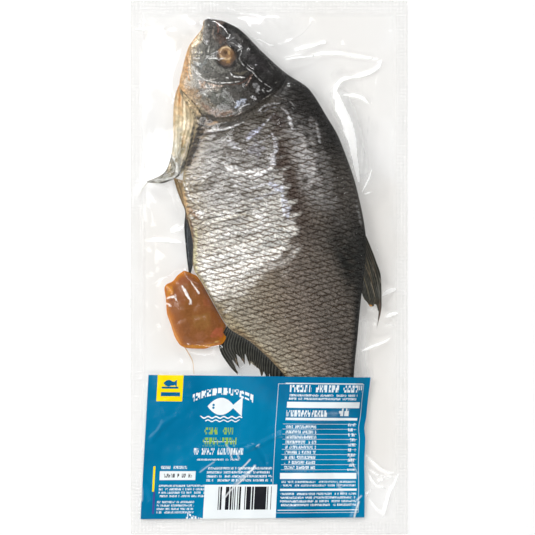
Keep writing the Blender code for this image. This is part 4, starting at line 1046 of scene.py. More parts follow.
def mesh_piece(name, points, faces, finish, sharp_from=None):
    """A smooth mesh object from arrays of points and faces, with edges sharp from an angle in degrees."""
    mesh = bpy.data.meshes.new(name)
    mesh.from_pydata(np.asarray(points).tolist(), [], faces)
    mesh.shade_smooth()
    if sharp_from is not None:
        mesh.set_sharp_from_angle(angle=math.radians(sharp_from))
    mesh.materials.append(finish)
    made = bpy.data.objects.new(name, mesh)
    bpy.context.scene.collection.objects.link(made)
    return made


def coordinates(piece):
    """The places of a piece's points."""
    values = np.zeros(len(piece.data.vertices) * 3, np.float32)
    piece.data.vertices.foreach_get("co", values)
    return values.reshape(-1, 3)


def store(piece, name, values):
    """Keeps a number, a place or, as "skin", a colour for each point, for the material to read."""
    values = np.asarray(values, np.float32)
    if name == "skin":
        values = np.column_stack([values, np.ones(len(values), np.float32)])
        layer = piece.data.color_attributes.new(name, "FLOAT_COLOR", "POINT")
        layer.data.foreach_set("color", values.ravel())
    else:
        kind, field = ("FLOAT", "value") if values.ndim == 1 else ("FLOAT_VECTOR", "vector")
        layer = piece.data.attributes.new(name, kind, "POINT")
        layer.data.foreach_set(field, values.ravel())


def ring_faces(rings, size):
    """Faces of a closed tube of rings, with a face at each end."""
    i = np.arange(rings - 1)[:, None] * size
    j = np.arange(size)
    k = (j + 1) % size
    quads = np.stack([i + j, i + k, i + size + k, i + size + j], -1).reshape(-1, 4)
    return quads.tolist() + [list(range(size))[::-1], list(range((rings - 1) * size, rings * size))]


def plate_faces(rows, columns):
    """Faces of a closed sheet: a grid, the same grid beneath it, and the rim between them."""
    index = np.arange(rows * columns).reshape(rows, columns)
    quads = np.stack([index[:-1, :-1], index[:-1, 1:], index[1:, 1:], index[1:, :-1]], -1).reshape(-1, 4)
    rim = np.concatenate([index[0, :-1], index[:-1, -1], index[-1, :0:-1], index[:0:-1, 0]])
    after = np.roll(rim, -1)
    low = rows * columns
    sides = np.stack([rim, rim + low, after + low, after], -1)
    return quads.tolist() + (quads[:, ::-1] + low).tolist() + sides.tolist()


def face_up(piece):
    """Turns a closed piece's faces outwards."""
    mesh = piece.data
    mesh.update()
    triangles = np.zeros(len(mesh.loop_triangles) * 3, np.int32)
    mesh.loop_triangles.foreach_get("vertices", triangles)
    a, b, c = coordinates(piece)[triangles.reshape(-1, 3)].transpose(1, 0, 2).astype(float)
    volume = np.einsum("ij,ij->i", a, np.cross(b, c)).sum()
    if volume < 0:
        mesh.flip_normals()
    return piece


def tube(name, points, radii, finish, sides=8):
    """A round tube along points, with a radius at each."""
    points = np.array(points, float)
    run = np.gradient(points, axis=0)
    run /= np.linalg.norm(run, axis=1)[:, None]
    aside = np.cross(run, (0, 0, 1))
    aside /= np.linalg.norm(aside, axis=1)[:, None]
    above = np.cross(aside, run)
    turns = np.linspace(0, 2 * math.pi, sides, endpoint=False)
    ring = np.cos(turns)[None, :, None] * aside[:, None] + np.sin(turns)[None, :, None] * above[:, None]
    rings = points[:, None] + ring * np.asarray(radii, float)[:, None, None]
    return face_up(mesh_piece(name, rings.reshape(-1, 3), ring_faces(len(points), sides), finish))


class Canvas:
    """Colours and heights at places in the pack, painted by marks."""

    def __init__(self, places, colours):
        self.places = places
        self.colours = colours
        self.rise = np.zeros(len(places))

    def blend(self, colours, strength, where=slice(None)):
        """Blends towards linear colours, by a strength at each place."""
        strength = strength[:, None]
        self.colours[where] = self.colours[where] * (1 - strength) + colours * strength

    def tone(self, colour, strength):
        """Blends towards one 8-bit colour, by a strength at each place."""
        self.blend(linear(colour), np.clip(strength, 0, 1))

    def marks(self, marks, uneven=0.35, soft=0.5, broken=1.4):
        """Paints marks with tapered ends and uneven edges; those thinner than a width are broken."""
        for number, (points, width, rise, colour, strength) in enumerate(marks):
            line = from_photo(curved(points))
            reach = np.ptp(line, axis=0).max() + 3 * width * PIXEL
            near = np.abs(self.places - line.mean(0)).max(1) < reach
            at = self.places[near]
            grain = ripples(at, (1.0 + 0.5 * width) * MM, 100 + number, 10)
            gap, way = along_line(line, at)
            half = width * min(1, 0.5 + 0.17 * width) * PIXEL * tapered(way)
            share = smooth_step(0.85 + soft, 0.85 - soft, gap / half + uneven * grain)
            if width < broken and len(points) > 1:
                share = share * smooth_step(-1.1, -0.1, ripples(at, 2.4 * MM, 400 + number, 8))
            self.rise[near] += rise * MM * share
            self.blend(linear(colour), share * np.clip(0.86 - 0.3 * grain, 0.2, 1) * strength, near)

    def skin(self):
        """The colours, kept within what a surface can have."""
        return np.clip(self.colours, DARKEST, BRIGHTEST)


class Graph:
    """The nodes of a material or world: each method adds some and returns the last one's output."""

    def __init__(self, owner):
        self.owner = owner
        owner.use_nodes = True
        self.nodes = owner.node_tree.nodes
        self.links = owner.node_tree.links
        self.nodes.clear()

    def add(self, kind, inputs=(), output=0, **settings):
        """A node of any kind, with values or other nodes' outputs for its inputs."""
        node = self.nodes.new(kind)
        for key, value in settings.items():
            setattr(node, key, value)
        for key, value in dict(inputs).items():
            if isinstance(value, bpy.types.NodeSocket):
                self.links.new(value, node.inputs[key])
            else:
                node.inputs[key].default_value = value
        return node.outputs[output]

    def math(self, operation, *values):
        return self.add("ShaderNodeMath", enumerate(values), operation=operation)

    def times(self, *values):
        return reduce(lambda a, b: self.math("MULTIPLY", a, b), values)

    def largest(self, *values):
        return reduce(lambda a, b: self.math("MAXIMUM", a, b), values)

    def minus(self, value, less):
        return self.math("SUBTRACT", value, less)

    def over(self, value, divisor):
        return self.math("DIVIDE", value, divisor)

    def whole(self, value):
        return self.math("FLOOR", value)

    def part(self, value):
        """What is left of a number without its whole part."""
        return self.math("FRACT", value)

    def scaled(self, value, factor, start):
        """The value times a factor, plus a start."""
        return self.math("MULTIPLY_ADD", value, factor, start)

    def below(self, value, limit):
        """1 below the limit and 0 elsewhere."""
        return self.math("LESS_THAN", value, limit)

    def above(self, value, limit):
        """1 above the limit and 0 elsewhere."""
        return self.math("GREATER_THAN", value, limit)

    def near(self, value, middle, half):
        """1 within half a width of a middle and 0 elsewhere."""
        return self.math("COMPARE", value, middle, half)

    def ramp(self, value, low, high, from_low=0.0, from_high=1.0):
        """Maps from_low..from_high to low..high, smoothly and clamped."""
        inputs = {"Value": value, "From Min": from_low, "From Max": from_high, "To Min": low, "To Max": high}
        return self.add("ShaderNodeMapRange", inputs, interpolation_type="SMOOTHSTEP")

    def attribute(self, name, output="Fac"):
        return self.add("ShaderNodeAttribute", output=output, attribute_name=name)

    def place(self):
        return self.add("ShaderNodeNewGeometry", output="Position")

    def vector(self, x, y, z=0.0):
        return self.add("ShaderNodeCombineXYZ", {0: x, 1: y, 2: z})

    def split(self, vector):
        """The outputs for a vector's three parts."""
        return self.add("ShaderNodeSeparateXYZ", {"Vector": vector}).node.outputs

    def noise(self, scale, place, detail, roughness):
        inputs = {"Scale": scale, "Vector": place, "Detail": detail, "Roughness": roughness}
        return self.add("ShaderNodeTexNoise", inputs)

    def chance(self, *cell):
        """A random number for each cell."""
        return self.add("ShaderNodeTexWhiteNoise", {"Vector": self.vector(*cell)}, noise_dimensions="3D")

    def grey(self, value):
        return self.add("ShaderNodeCombineColor", {channel: value for channel in range(3)})

    def mix(self, factor, a, b, blend="MIX"):
        """A blend of two colours."""
        return self.add("ShaderNodeMix", {0: factor, 6: a, 7: b}, 2, data_type="RGBA", blend_type=blend)

    def shaded(self, colour, tone):
        """A colour times a grey tone."""
        return self.mix(1.0, colour, self.grey(tone), "MULTIPLY")

    def bump(self, height, strength):
        return self.add("ShaderNodeBump", {"Height": height, "Strength": strength, "Distance": 1.0})

    def surface(self, colour, roughness, specular, normal):
        return self.add("ShaderNodeBsdfPrincipled", {
            "Base Color": colour, "Roughness": roughness, "Specular IOR Level": specular, "Normal": normal,
        })

    def blend(self, factor, first, second):
        """A blend of two shaders."""
        return self.add("ShaderNodeMixShader", {0: factor, 1: first, 2: second})

    def finish(self, shader, kind="ShaderNodeOutputMaterial"):
        self.links.new(shader, self.nodes.new(kind).inputs["Surface"])
        return self.owner


def rgba(colour):
    """An 8-bit sRGB colour as a material's linear one."""
    return (*linear(colour), 1.0)


def scale_net(g):
    """(rows behind the nearest scale's edge, share of the way to the next edge) in the net of scales."""
    x, y, _ = g.split(g.attribute("lattice", "Vector"))
    depths = []
    for row in (0, 1):
        centred = g.scaled(g.part(g.minus(x, 0.5 * row)), 2.0, -1.0)
        rise = g.scaled(centred, centred, y)
        depths.append(g.math("FLOORED_MODULO", g.minus(rise, 1.0 + row), 2.0))
    near = g.math("MINIMUM", *depths)
    ahead = g.minus(2.0, g.largest(*depths))
    return near, g.over(near, g.math("ADD", near, ahead))


# ---------------------------------------------------------------- materials


def skin_material():
    """Scaly skin: a net of dark scale edges painted as the shade behind each edge, scales painted lighter in
    their middles, painted silvery glints, and the colours kept in the points.
    """
    g = Graph(bpy.data.materials.new("dried_skin"))
    place = g.place()
    scaly = g.attribute("scaly")
    near, height = scale_net(g)
    fine = g.noise(1000.0, place, 3.0, 0.7)
    grain = g.noise(430.0, place, 3.0, 0.75)
    patches = g.noise(150.0, place, 3.0, 0.6)
    lens = g.times(height, g.minus(1.0, height), 4.0)
    # painted shade: dark lines in the step behind each scale's edge
    line = g.times(g.ramp(near, 1.0, 0.0, 0.12, 0.72), g.ramp(patches, 0.55, 1.0, 0.36, 0.58), scaly)
    # painted shading: each scale lighter in its middle and darker at its edges
    rounded_shading = g.scaled(g.ramp(lens, -0.16, 0.12), scaly, 1.0)
    cracks = g.math("ABSOLUTE", g.minus(g.noise(300.0, place, 3.0, 0.6), 0.5))
    cracked = g.times(g.ramp(cracks, 0.5, 0.0, 0.0, 0.045), g.minus(1.0, scaly))
    tone = g.times(g.ramp(fine, 0.70, 1.25, 0.30, 0.70), g.ramp(grain, 0.62, 1.42, 0.34, 0.66),
                   rounded_shading, g.minus(1.0, cracked))
    toned = g.shaded(g.attribute("skin", "Color"), tone)
    net_shaded = g.mix(g.times(line, 0.9), toned, g.mix(1.0, toned, rgba(SCALE_EDGE_SHADE), "MULTIPLY"))
    # painted glints: white flecks on the scales, as strong as the gleam kept in the points
    stretched = g.add("ShaderNodeVectorMath", {0: g.attribute("lattice", "Vector"), 1: (5.0, 1.1, 1.0)},
                      operation="MULTIPLY")
    glint_flecks = g.noise(1.0, stretched, 2.0, 0.6)
    glint = g.times(g.ramp(glint_flecks, 0.0, 1.0, 0.56, 0.66), g.ramp(lens, 0.1, 1.0, 0.35, 0.9))
    glinting = g.mix(g.times(glint, g.attribute("gleam")), net_shaded, rgba(SCALE_GLINT))
    relief = g.times(height, scaly, 0.42 * MM)
    for texture, depth in ((fine, 0.10 * MM), (grain, 0.18 * MM), (patches, 0.35 * MM)):
        relief = g.scaled(texture, depth, relief)
    return g.finish(g.surface(glinting, g.ramp(fine, 0.20, 0.36, 0.3, 0.7), 0.2, g.bump(relief, 0.8)))


def plain_skin_material(name, roughness, bump_size):
    """Skin without scales: eye, fins and roe, whose colour is in the points."""
    g = Graph(bpy.data.materials.new(name))
    fine = g.noise(bump_size, g.place(), 3.0, 0.6)
    toned = g.shaded(g.attribute("skin", "Color"), g.scaled(fine, 0.5, 0.75))
    polish = g.ramp(fine, roughness * 0.8, roughness * 1.3, 0.3, 0.7)
    return g.finish(g.surface(toned, polish, 0.15, g.bump(g.times(fine, 0.25 * MM), 0.8)))


def film_material():
    """Clear film: see-through, glossy and wrinkled, embossed along its seals, and milky in its creases, with
    a painted highlight there; patches of it are painted milky white as light, and others greyer as shade.
    """
    g = Graph(bpy.data.materials.new("clear_film"))
    place = g.place()
    x, y, _ = g.split(place)
    seal = g.attribute("seal")
    cling = g.attribute("cling")
    _, height = scale_net(g)
    diagonals = (g.times(g.math(way, x, y), EMBOSS_PITCH) for way in ("ADD", "SUBTRACT"))
    emboss = g.times(*(g.math("SINE", diagonal) for diagonal in diagonals))
    relief = g.times(emboss, g.times(seal, 0.05 * MM))
    relief = g.scaled(g.noise(38.0, place, 2.0, 0.5), 0.55 * MM, relief)
    relief = g.scaled(g.times(g.noise(420.0, place, 2.0, 0.5), cling), 0.15 * MM, relief)
    relief = g.scaled(g.times(height, cling), 0.09 * MM, relief)
    normal = g.bump(relief, 0.9)
    slant = g.add("ShaderNodeLayerWeight", {"Blend": 0.5, "Normal": normal}, "Facing")
    fresnel = g.scaled(g.math("POWER", slant, 5.0), 1 - FILM_MIRROR, FILM_MIRROR)
    fresnel = g.times(fresnel, g.minus(1.0, g.attribute("calm")))
    # painted shade: the film's tint is greyer in patches
    tint = g.mix(g.attribute("painted_shade"), FILM_TINT, FILM_SHADE_TINT)
    clear = g.add("ShaderNodeBsdfTransparent", {"Color": tint})
    gloss = g.add("ShaderNodeBsdfGlossy", {"Color": WHITE, "Roughness": FILM_ROUGHNESS, "Normal": normal})
    crest_noise = g.minus(g.noise(300.0, place, 2.0, 0.6), 0.5)
    # the creases: milky, and brightened with a painted highlight
    crest = g.ramp(g.scaled(crest_noise, 0.35, g.attribute("milk_and_glint")), 0.0, 0.95, 0.42, 0.72)
    grain = g.times(g.scaled(emboss, 0.5, 0.8), SEAL_WHITENESS)
    white_share = g.largest(crest, g.attribute("glow"), g.times(seal, grain))
    milk = {"Color": g.mix(crest, MILK, CREST_MILK)}
    lit, backlit = (g.add(f"ShaderNodeBsdf{kind}", milk) for kind in ("Diffuse", "Translucent"))
    milk_and_painted_light = g.blend(MILK_BACKLIT, lit, backlit)
    return g.finish(g.blend(white_share, g.blend(fresnel, clear, gloss), milk_and_painted_light))


class Print(Graph):
    """A label's nodes, with masks that are 1 inside a printed shape and 0 outside it."""

    def __init__(self, owner):
        super().__init__(owner)
        self.x, self.y, _ = self.split(self.attribute("print", "Vector"))

    def box(self, left, top, right, bottom):
        across = self.near(self.x, (left + right) / 2, (right - left) / 2)
        return self.times(across, self.near(self.y, (top + bottom) / 2, (bottom - top) / 2))

    def fish(self, centre, length):
        """A simple fish that faces left: a lens, a triangle for its tail and two dots beside its nose."""
        dx = self.over(self.minus(self.x, centre[0]), length)
        dy = self.math("ABSOLUTE", self.over(self.minus(self.y, centre[1]), length))
        body = self.below(dy, self.scaled(self.times(dx, dx), -1.6, 0.25))
        tail = self.times(self.below(dy, self.scaled(dx, 0.9, -0.27)), self.below(dx, 0.62))
        from_eye = self.add("ShaderNodeVectorMath", {0: self.vector(dx, dy), 1: (-0.22, 0.04, 0.0)}, 1,
                            operation="DISTANCE")
        return self.times(self.largest(body, tail), self.above(from_eye, 0.035))

    def badge(self):
        """An arch of blocks, a fish beneath it and two waves, the lower one shorter, below the fish."""
        dx, dy = self.minus(self.x, BADGE_CENTRE[0]), self.minus(self.y, BADGE_CENTRE[1])
        down = self.minus(ARCH_RADIUS, dy)
        out = self.math("SQRT", self.math("ADD", self.times(dx, dx), self.times(down, down)))
        turn = self.over(dx, ARCH_LETTER)
        drawn = self.chance(self.whole(self.times(turn, 3.0)), self.whole(self.over(out, 2.2)), 9.0)
        arch = self.times(self.above(drawn, 0.28), self.below(self.part(turn), 0.8),
                          self.near(out, ARCH_RADIUS + 13.5, 3.4), self.near(dx, 0.0, 30.0))
        swell = self.scaled(self.math("SINE", self.times(dx, 0.8)), 0.8, dy)
        lines = self.largest(self.near(swell, 12.4, 0.7), self.near(swell, 15.8, 0.55))
        waves = self.times(lines, self.below(self.math("ABSOLUTE", dx), self.scaled(dy, -1.1, 34.0)))
        return self.largest(arch, waves, self.fish(BADGE_FISH, 34.0))

    def lettering(self, left, top, right, bottom, row, share, letter):
        """Rows of shapes that only look like lettering from afar, made of blocks laid at random."""
        box = label_box(left, top, right, bottom)
        down = self.over(self.minus(self.y, box[1]), row)
        level = self.over(self.part(down), share)
        cell = self.over(self.x, letter)
        number = self.whole(down)
        block = self.math("ADD", self.whole(self.times(level, 3.0)), self.times(number, 3.0))
        drawn = self.chance(self.whole(self.times(cell, 4.0)), block, left + top)
        letters = self.chance(self.whole(cell), number, right)
        return self.times(self.above(drawn, 0.30), self.below(self.part(cell), 0.80),
                          self.above(letters, 0.13), self.below(level, 1.0), self.box(*box))


def label_material():
    """Glossy print: flat fields, a badge, a barcode without numbers, and blocks where lettering would be."""
    g = Print(bpy.data.materials.new("printed_label"))
    place = g.place()
    inked = [(g.box(*label_box(*box)), ink) for *box, ink in FIELDS]
    inked += [(g.times(g.lettering(*rows), 0.92), ink) for *rows, ink in LETTERING]
    *box, spacing = RULES
    box = label_box(*box)
    rules = g.below(g.part(g.over(g.minus(g.y, box[1]), spacing)), 0.09)
    left, top, right, bottom = PANEL
    outline = g.largest(*(g.box(*line) for line in (
        (left, top, left + PANEL_LINE, bottom), (right - PANEL_LINE, top, right, bottom),
        (left, top, right, top + PANEL_LINE), (left, bottom - PANEL_LINE, right, bottom),
    )))
    bars = g.below(g.chance(g.whole(g.over(g.x, BARCODE_BAR)), 0.0, 5.0), 0.52)
    inked += [
        (g.times(g.box(*box), rules, 0.7), WHITE_INK),
        (g.times(outline, 0.7), WHITE_INK),
        (g.badge(), WHITE_INK),
        (g.fish(TAB_FISH, 13.0), BLUE_INK),
        (g.times(g.box(*label_box(*BARCODE)), bars), BLACK_INK),
    ]
    clouds = g.noise(9.0, place, 2.0, 0.5)
    colour = g.mix(g.ramp(clouds, 0.0, 1.0, 0.35, 0.65), rgba(LABEL_BLUE), rgba(LABEL_DEEP_BLUE))
    for mask, ink in inked:
        colour = g.mix(mask, colour, rgba(ink))
    crumple = g.noise(60.0, place, 3.0, 0.6)
    printed = g.surface(colour, 0.22, 0.22, g.bump(g.times(crumple, 0.7 * MM), 0.7))
    glare = g.add("ShaderNodeBsdfDiffuse", {"Color": GLARE})
    return g.finish(g.blend(g.attribute("glare"), printed, glare))


def floor_material():
    """A white surface with a little light behind it."""
    g = Graph(bpy.data.materials.new("floor_white"))
    speck = g.noise(30.0, g.place(), 2.0, 0.5)
    shade = g.grey(g.scaled(speck, FLOOR_SPECK, FLOOR_WHITE - FLOOR_SPECK / 2))
    lit = g.add("ShaderNodeBsdfDiffuse", {"Color": shade})
    backlit = g.add("ShaderNodeEmission", {"Color": WHITE, "Strength": FLOOR_BACKLIGHT})
    return g.finish(g.blend(FLOOR_GLOW, lit, backlit))


# ---------------------------------------------------------------- the fish


def sheen(station, offset, places):
    """How far the light that the belly side mirrors reaches: 1 inside it, 0 past its ragged edge."""
    x, y = to_photo(places).T
    ragged = 5.0 * ripples(drawn_out(station, offset, 0.25), 4 * MM, 23) + 2.5 * ripples(places, 10 * MM, 29)
    near_head, further = SHEEN_EDGE_X
    right = near_head + (further - near_head) * smooth_step(140.0, 225.0, y)
    (x0, y0), (x1, y1) = SHEEN_LOWER_EDGE
    beyond = ((y - y0) * (x0 - x1) + (x - x0) * (y1 - y0)) / math.hypot(x1 - x0, y1 - y0)
    return smooth_step(4.0, -7.0, x - right + ragged) * smooth_step(13.0, -13.0, beyond + 1.2 * ragged)


def body_colours(station, offset, places):
    """A canvas with the skin's colours, by where it is on the fish, with a painted sheen and the painted
    light and shade of folds among them, and how strong the painted glints are.
    """
    share = np.clip(offset / half_width(station, offset), -1, 1)
    drift = layered(places, COLOUR_DRIFT)
    on_head = smooth_step(0.004, -0.004, behind_gill(station, offset))
    body = 1 - on_head
    canvas = Canvas(places, colour_line(FLANK_COLOURS, share + drift))
    canvas.blend(colour_line(HEAD_COLOURS, share + 0.6 * drift), on_head)
    lit = sheen(station, offset, places) * body * smooth_step(-1.0, -0.93, share)
    # painted light and shade of the skin's folds, strongest in the sheen
    folds = ripples(drawn_out(station, offset, 0.25), 9 * MM, 24) + 0.5 * ripples(places, 6 * MM, 25)
    mirrored = colour_line(SHEEN_COLOURS, station + 0.02 * ripples(places, 14 * MM, 27))
    canvas.blend(mirrored, lit * np.clip(0.93 + 0.12 * folds, 0.4, 1))
    canvas.colours *= (1 + 0.09 * np.clip(folds, -1.6, 1.6) * (0.35 + 0.65 * lit) * body)[:, None]
    belly = smooth_step(*BELLY_OUTER, share) * smooth_step(*BELLY_END, station) * body
    canvas.tone(TAN_BELLY, 0.55 * belly)
    # brown skin beyond the sheen, between it and the silvery patches on the dark side
    brown = around(station, BROWN_ALONG) * around(offset, BROWN_ACROSS) * body * (1 - lit)
    canvas.tone(BROWN_SIDE, brown * 0.75)
    # silvery skin on the dark side, with a painted sheen
    dark_side_sheen = around(offset, SILVERY_SHEEN_ACROSS) * around(station, SILVERY_SHEEN_ALONG) * body * (1 - lit)
    canvas.tone(SILVERY_SHEEN, dark_side_sheen * np.clip(0.60 + 0.55 * ripples(places, 6 * MM, 26), 0, 1))
    # the paler rear, the dark back and the dark patch at the root of the dorsal fin
    rear = smooth_step(*REAR_START, station) * smooth_step(*REAR_INNER, share)
    rear = rear * smooth_step(*REAR_OUTER, share)
    canvas.tone(PALE_REAR, rear * 0.8)
    dark_edge = smooth_step(*BACK_EDGE_OUTER, share) * (0.85 - 0.5 * around(station, BACK_EDGE_PALE_ALONG))
    canvas.tone(BACK_EDGE, dark_edge * np.clip(0.85 + 0.3 * ripples(places, 3 * MM, 34), 0, 1))
    middle = around(station, BACK_MIDDLE_ALONG) * smooth_step(*BACK_MIDDLE_OUTER, share)
    canvas.tone(BACK_MIDDLE, middle * 0.5)
    shoulder = around(station, SHOULDER_ALONG) * smooth_step(*SHOULDER_OUTER, share)
    canvas.tone(DARK_SHOULDER, shoulder * 0.75)
    patch = around(station, DORSAL_ROOT_ALONG) * smooth_step(*DORSAL_ROOT_EDGE, offset)
    canvas.tone(DORSAL_ROOT, patch * np.clip(0.95 + 0.2 * ripples(places, 6 * MM, 30), 0, 1))
    # how strong the painted glints are: patchy in the sheen and on the silvery skin of the dark side
    glint_patches = np.clip(0.55 + 0.55 * ripples(places, 14 * MM, 28), 0, 1)
    lit_gleam = lit * (0.15 + 0.65 * glint_patches) * smooth_step(0.24, 0.40, station)
    return canvas, np.clip(np.maximum(lit_gleam, 0.55 * dark_side_sheen * glint_patches), 0, 1)


def make_body(name, span, rings, over_columns, under_columns, finish):
    """Part of the body, between two stations: cross-sections closed at both ends, with scales, gill cover,
    mouth and folds as relief."""
    run = np.linspace(-1, 1, over_columns + 1)
    over = 0.5 * run + 0.5 * np.sin(0.5 * math.pi * run)
    under = np.cos(np.linspace(0, math.pi, under_columns + 1))[1:-1]
    share = np.concatenate([over, under])
    upper = np.arange(len(share)) <= over_columns
    stations, shrink = np.linspace(*span, rings), np.ones(rings)
    if name == "bream_head":
        nose = np.linspace(0.5 * math.pi, 0, NOSE_RINGS, endpoint=False)
        stations = np.concatenate([span[0] - NOSE_REACH * np.sin(nose), stations])
        shrink = np.concatenate([np.maximum(0.06, np.cos(nose)), shrink])
    sections = len(stations)
    station, share = (grid.ravel() for grid in np.meshgrid(stations, share, indexing="ij"))
    shrink, upper = np.repeat(shrink, len(upper)), np.tile(upper, sections)
    offset = share * half_width(station, share) * shrink
    places = to_pack(station, offset)
    thickness = smooth_line(HALF_THICKNESS, station) * section(share) * shrink
    inwards = smooth_step(0, 0.35, section(share))
    canvas, gleam = body_colours(station, offset, places)
    canvas.marks(HEAD_MARKS_AND_PAINTED_LIGHT)
    canvas.marks(SOCKET_MARKS, uneven=0.06, soft=0.10)
    canvas.marks(EYE_MARKS_AND_GLINTS[1:], uneven=0.10, soft=0.14)
    canvas.marks(FLANK_MARKS_AND_PAINTED_LIGHT)
    scaly = scaly_from(station, offset) * smooth_step(0.995, 0.96, np.abs(share))
    scaly = scaly * (1 - covering((BARE_SKIN,), places))
    x, y = scale_lattice(station, offset)
    scales = SCALE_RELIEF * (scale_height(x, y) - 0.5) * scaly
    waves = layered(places, BODY_WAVES)
    creased = around(station, CREASED_ALONG) * smooth_step(*CREASED_EDGE, offset)
    creases = 0.18 * MM * ripples(drawn_out(station, offset, 0.22), 7 * MM, 33) * creased
    relief = head_relief(station, offset) + canvas.rise + scales + waves + creases
    edge = smooth_line(EDGE_HEIGHT, station)
    height = np.where(
        upper, edge + thickness + relief * inwards,
        edge - UNDERSIDE_SHARE * thickness - UNDERSIDE_RELIEF * np.maximum(relief, -0.5 * MM) * inwards,
    )
    points = np.column_stack([places, height])
    faces = ring_faces(sections, over_columns + under_columns)
    piece = face_up(mesh_piece(name, points, faces, finish, sharp_from=60))
    store(piece, "skin", canvas.skin())
    store(piece, "scaly", scaly)
    store(piece, "gleam", gleam)
    store(piece, "lattice", np.column_stack([x, y, np.zeros(len(x))]))
    return piece


def make_eye(name, side, finish):
    """The dried eye: a wrinkled dome in its socket, on the upper (1) or the lower side (-1)."""
    tilt = np.linspace(EYE_POLE, math.pi - EYE_POLE, EYE_RINGS)
    turn = np.linspace(0, 2 * math.pi, EYE_SIDES, endpoint=False)
    tilt, turn = (grid.ravel() for grid in np.meshgrid(tilt, turn, indexing="ij"))
    circle = np.column_stack([np.cos(turn), np.sin(turn)])
    places = to_pack(*EYE) + EYE_RADIUS * circle * np.sin(tilt)[:, None]
    canvas = Canvas(places, np.tile(linear(EYE_GROUND), (len(places), 1)))
    canvas.marks(EYE_MARKS_AND_GLINTS, uneven=0.10, soft=0.14)
    station, offset = np.array([EYE[0]]), np.array([EYE[1]])
    thickness = smooth_line(HALF_THICKNESS, station) * section(offset / half_width(station, offset))
    relief = head_relief(station, offset)
    edge = smooth_line(EDGE_HEIGHT, station)
    share = 1.0
    base = edge + thickness + relief
    if side < 0:
        share = UNDERSIDE_RELIEF
        base = edge - UNDERSIDE_SHARE * thickness - UNDERSIDE_RELIEF * relief
    dome, lift = (EYE_SOCKET_DEPTH + EYE_PROUD) * share, EYE_LIFT * share
    wrinkles = (canvas.rise + 0.12 * MM * ripples(places, 3 * MM, 41)) * np.sin(tilt)
    height = base + side * lift + np.cos(tilt) * (dome - lift) + side * wrinkles
    points = np.column_stack([places, height])
    piece = face_up(mesh_piece(name, points, ring_faces(EYE_RINGS, EYE_SIDES), finish))
    store(piece, "skin", canvas.colours)
    return piece


def make_fin(name, look, finish, sheet):
    """A fin over lines of pixels of the photograph, from its root out to its tips: ridged along its rays,
    with ragged ends."""
    rays, rows, seed = look["rays"], look["rows"], look["seed"]
    columns = np.linspace(0, 1, COLUMNS_PER_RAY * rays + 1)
    phase = columns * rays
    ridge = 0.5 + 0.5 * np.cos(2 * math.pi * phase)
    lengths = 1 - look["ragged"] * np.random.default_rng(seed).random(rays + 1)
    tips = np.interp(phase, np.arange(rays + 1), lengths) - look["notch"] * (1 - ridge) ** 1.5
    tips = tips * np.interp(columns, *np.transpose(look.get("reach", ((0, 1), (1, 1)))))
    controls = np.stack([smooth_row(from_photo(line), columns) for line in look["lines"]])
    root_station, _ = to_fish(controls[0])
    root_height = smooth_line(EDGE_HEIGHT, root_station)
    reach = np.linspace(0, 1, rows + 1)[:, None] * tips
    places = np.stack([smooth_row(controls[:, i], reach[:, i]) for i in range(len(columns))], 1)
    flat = places.reshape(-1, 2)
    rest = sheet(flat).reshape(reach.shape) + FIN_LIFT
    middle = rest + np.maximum(0, root_height - rest) * (1 - reach) ** 3
    middle = middle + (0.35 * MM * ripples(flat, 7 * MM, seed + 50)).reshape(middle.shape) * reach
    half = look["half"] * (0.35 + 0.65 * ridge) * (1 - 0.55 * reach)
    sides = [np.column_stack([flat, height.ravel()]) for height in (middle + half, middle - half)]
    faces = plate_faces(rows + 1, len(columns))
    piece = face_up(mesh_piece(name, np.vstack(sides), faces, finish, sharp_from=60))
    colours = colour_line(look["colours"], reach.ravel() + 0.10 * ripples(flat, 8 * MM, seed + 51))
    stripe = (ridge**1.6 * np.ones_like(reach)).ravel()[:, None]
    mottle = 1 + 0.18 * ripples(flat, 3 * MM, seed + 52)[:, None]
    canvas = Canvas(flat, colours * (look["web"] + (1 - look["web"]) * stripe) * mottle)
    canvas.marks(look.get("marks", ()), uneven=0.2, broken=0.0)
    store(piece, "skin", np.tile(canvas.skin(), (2, 1)))
    return piece


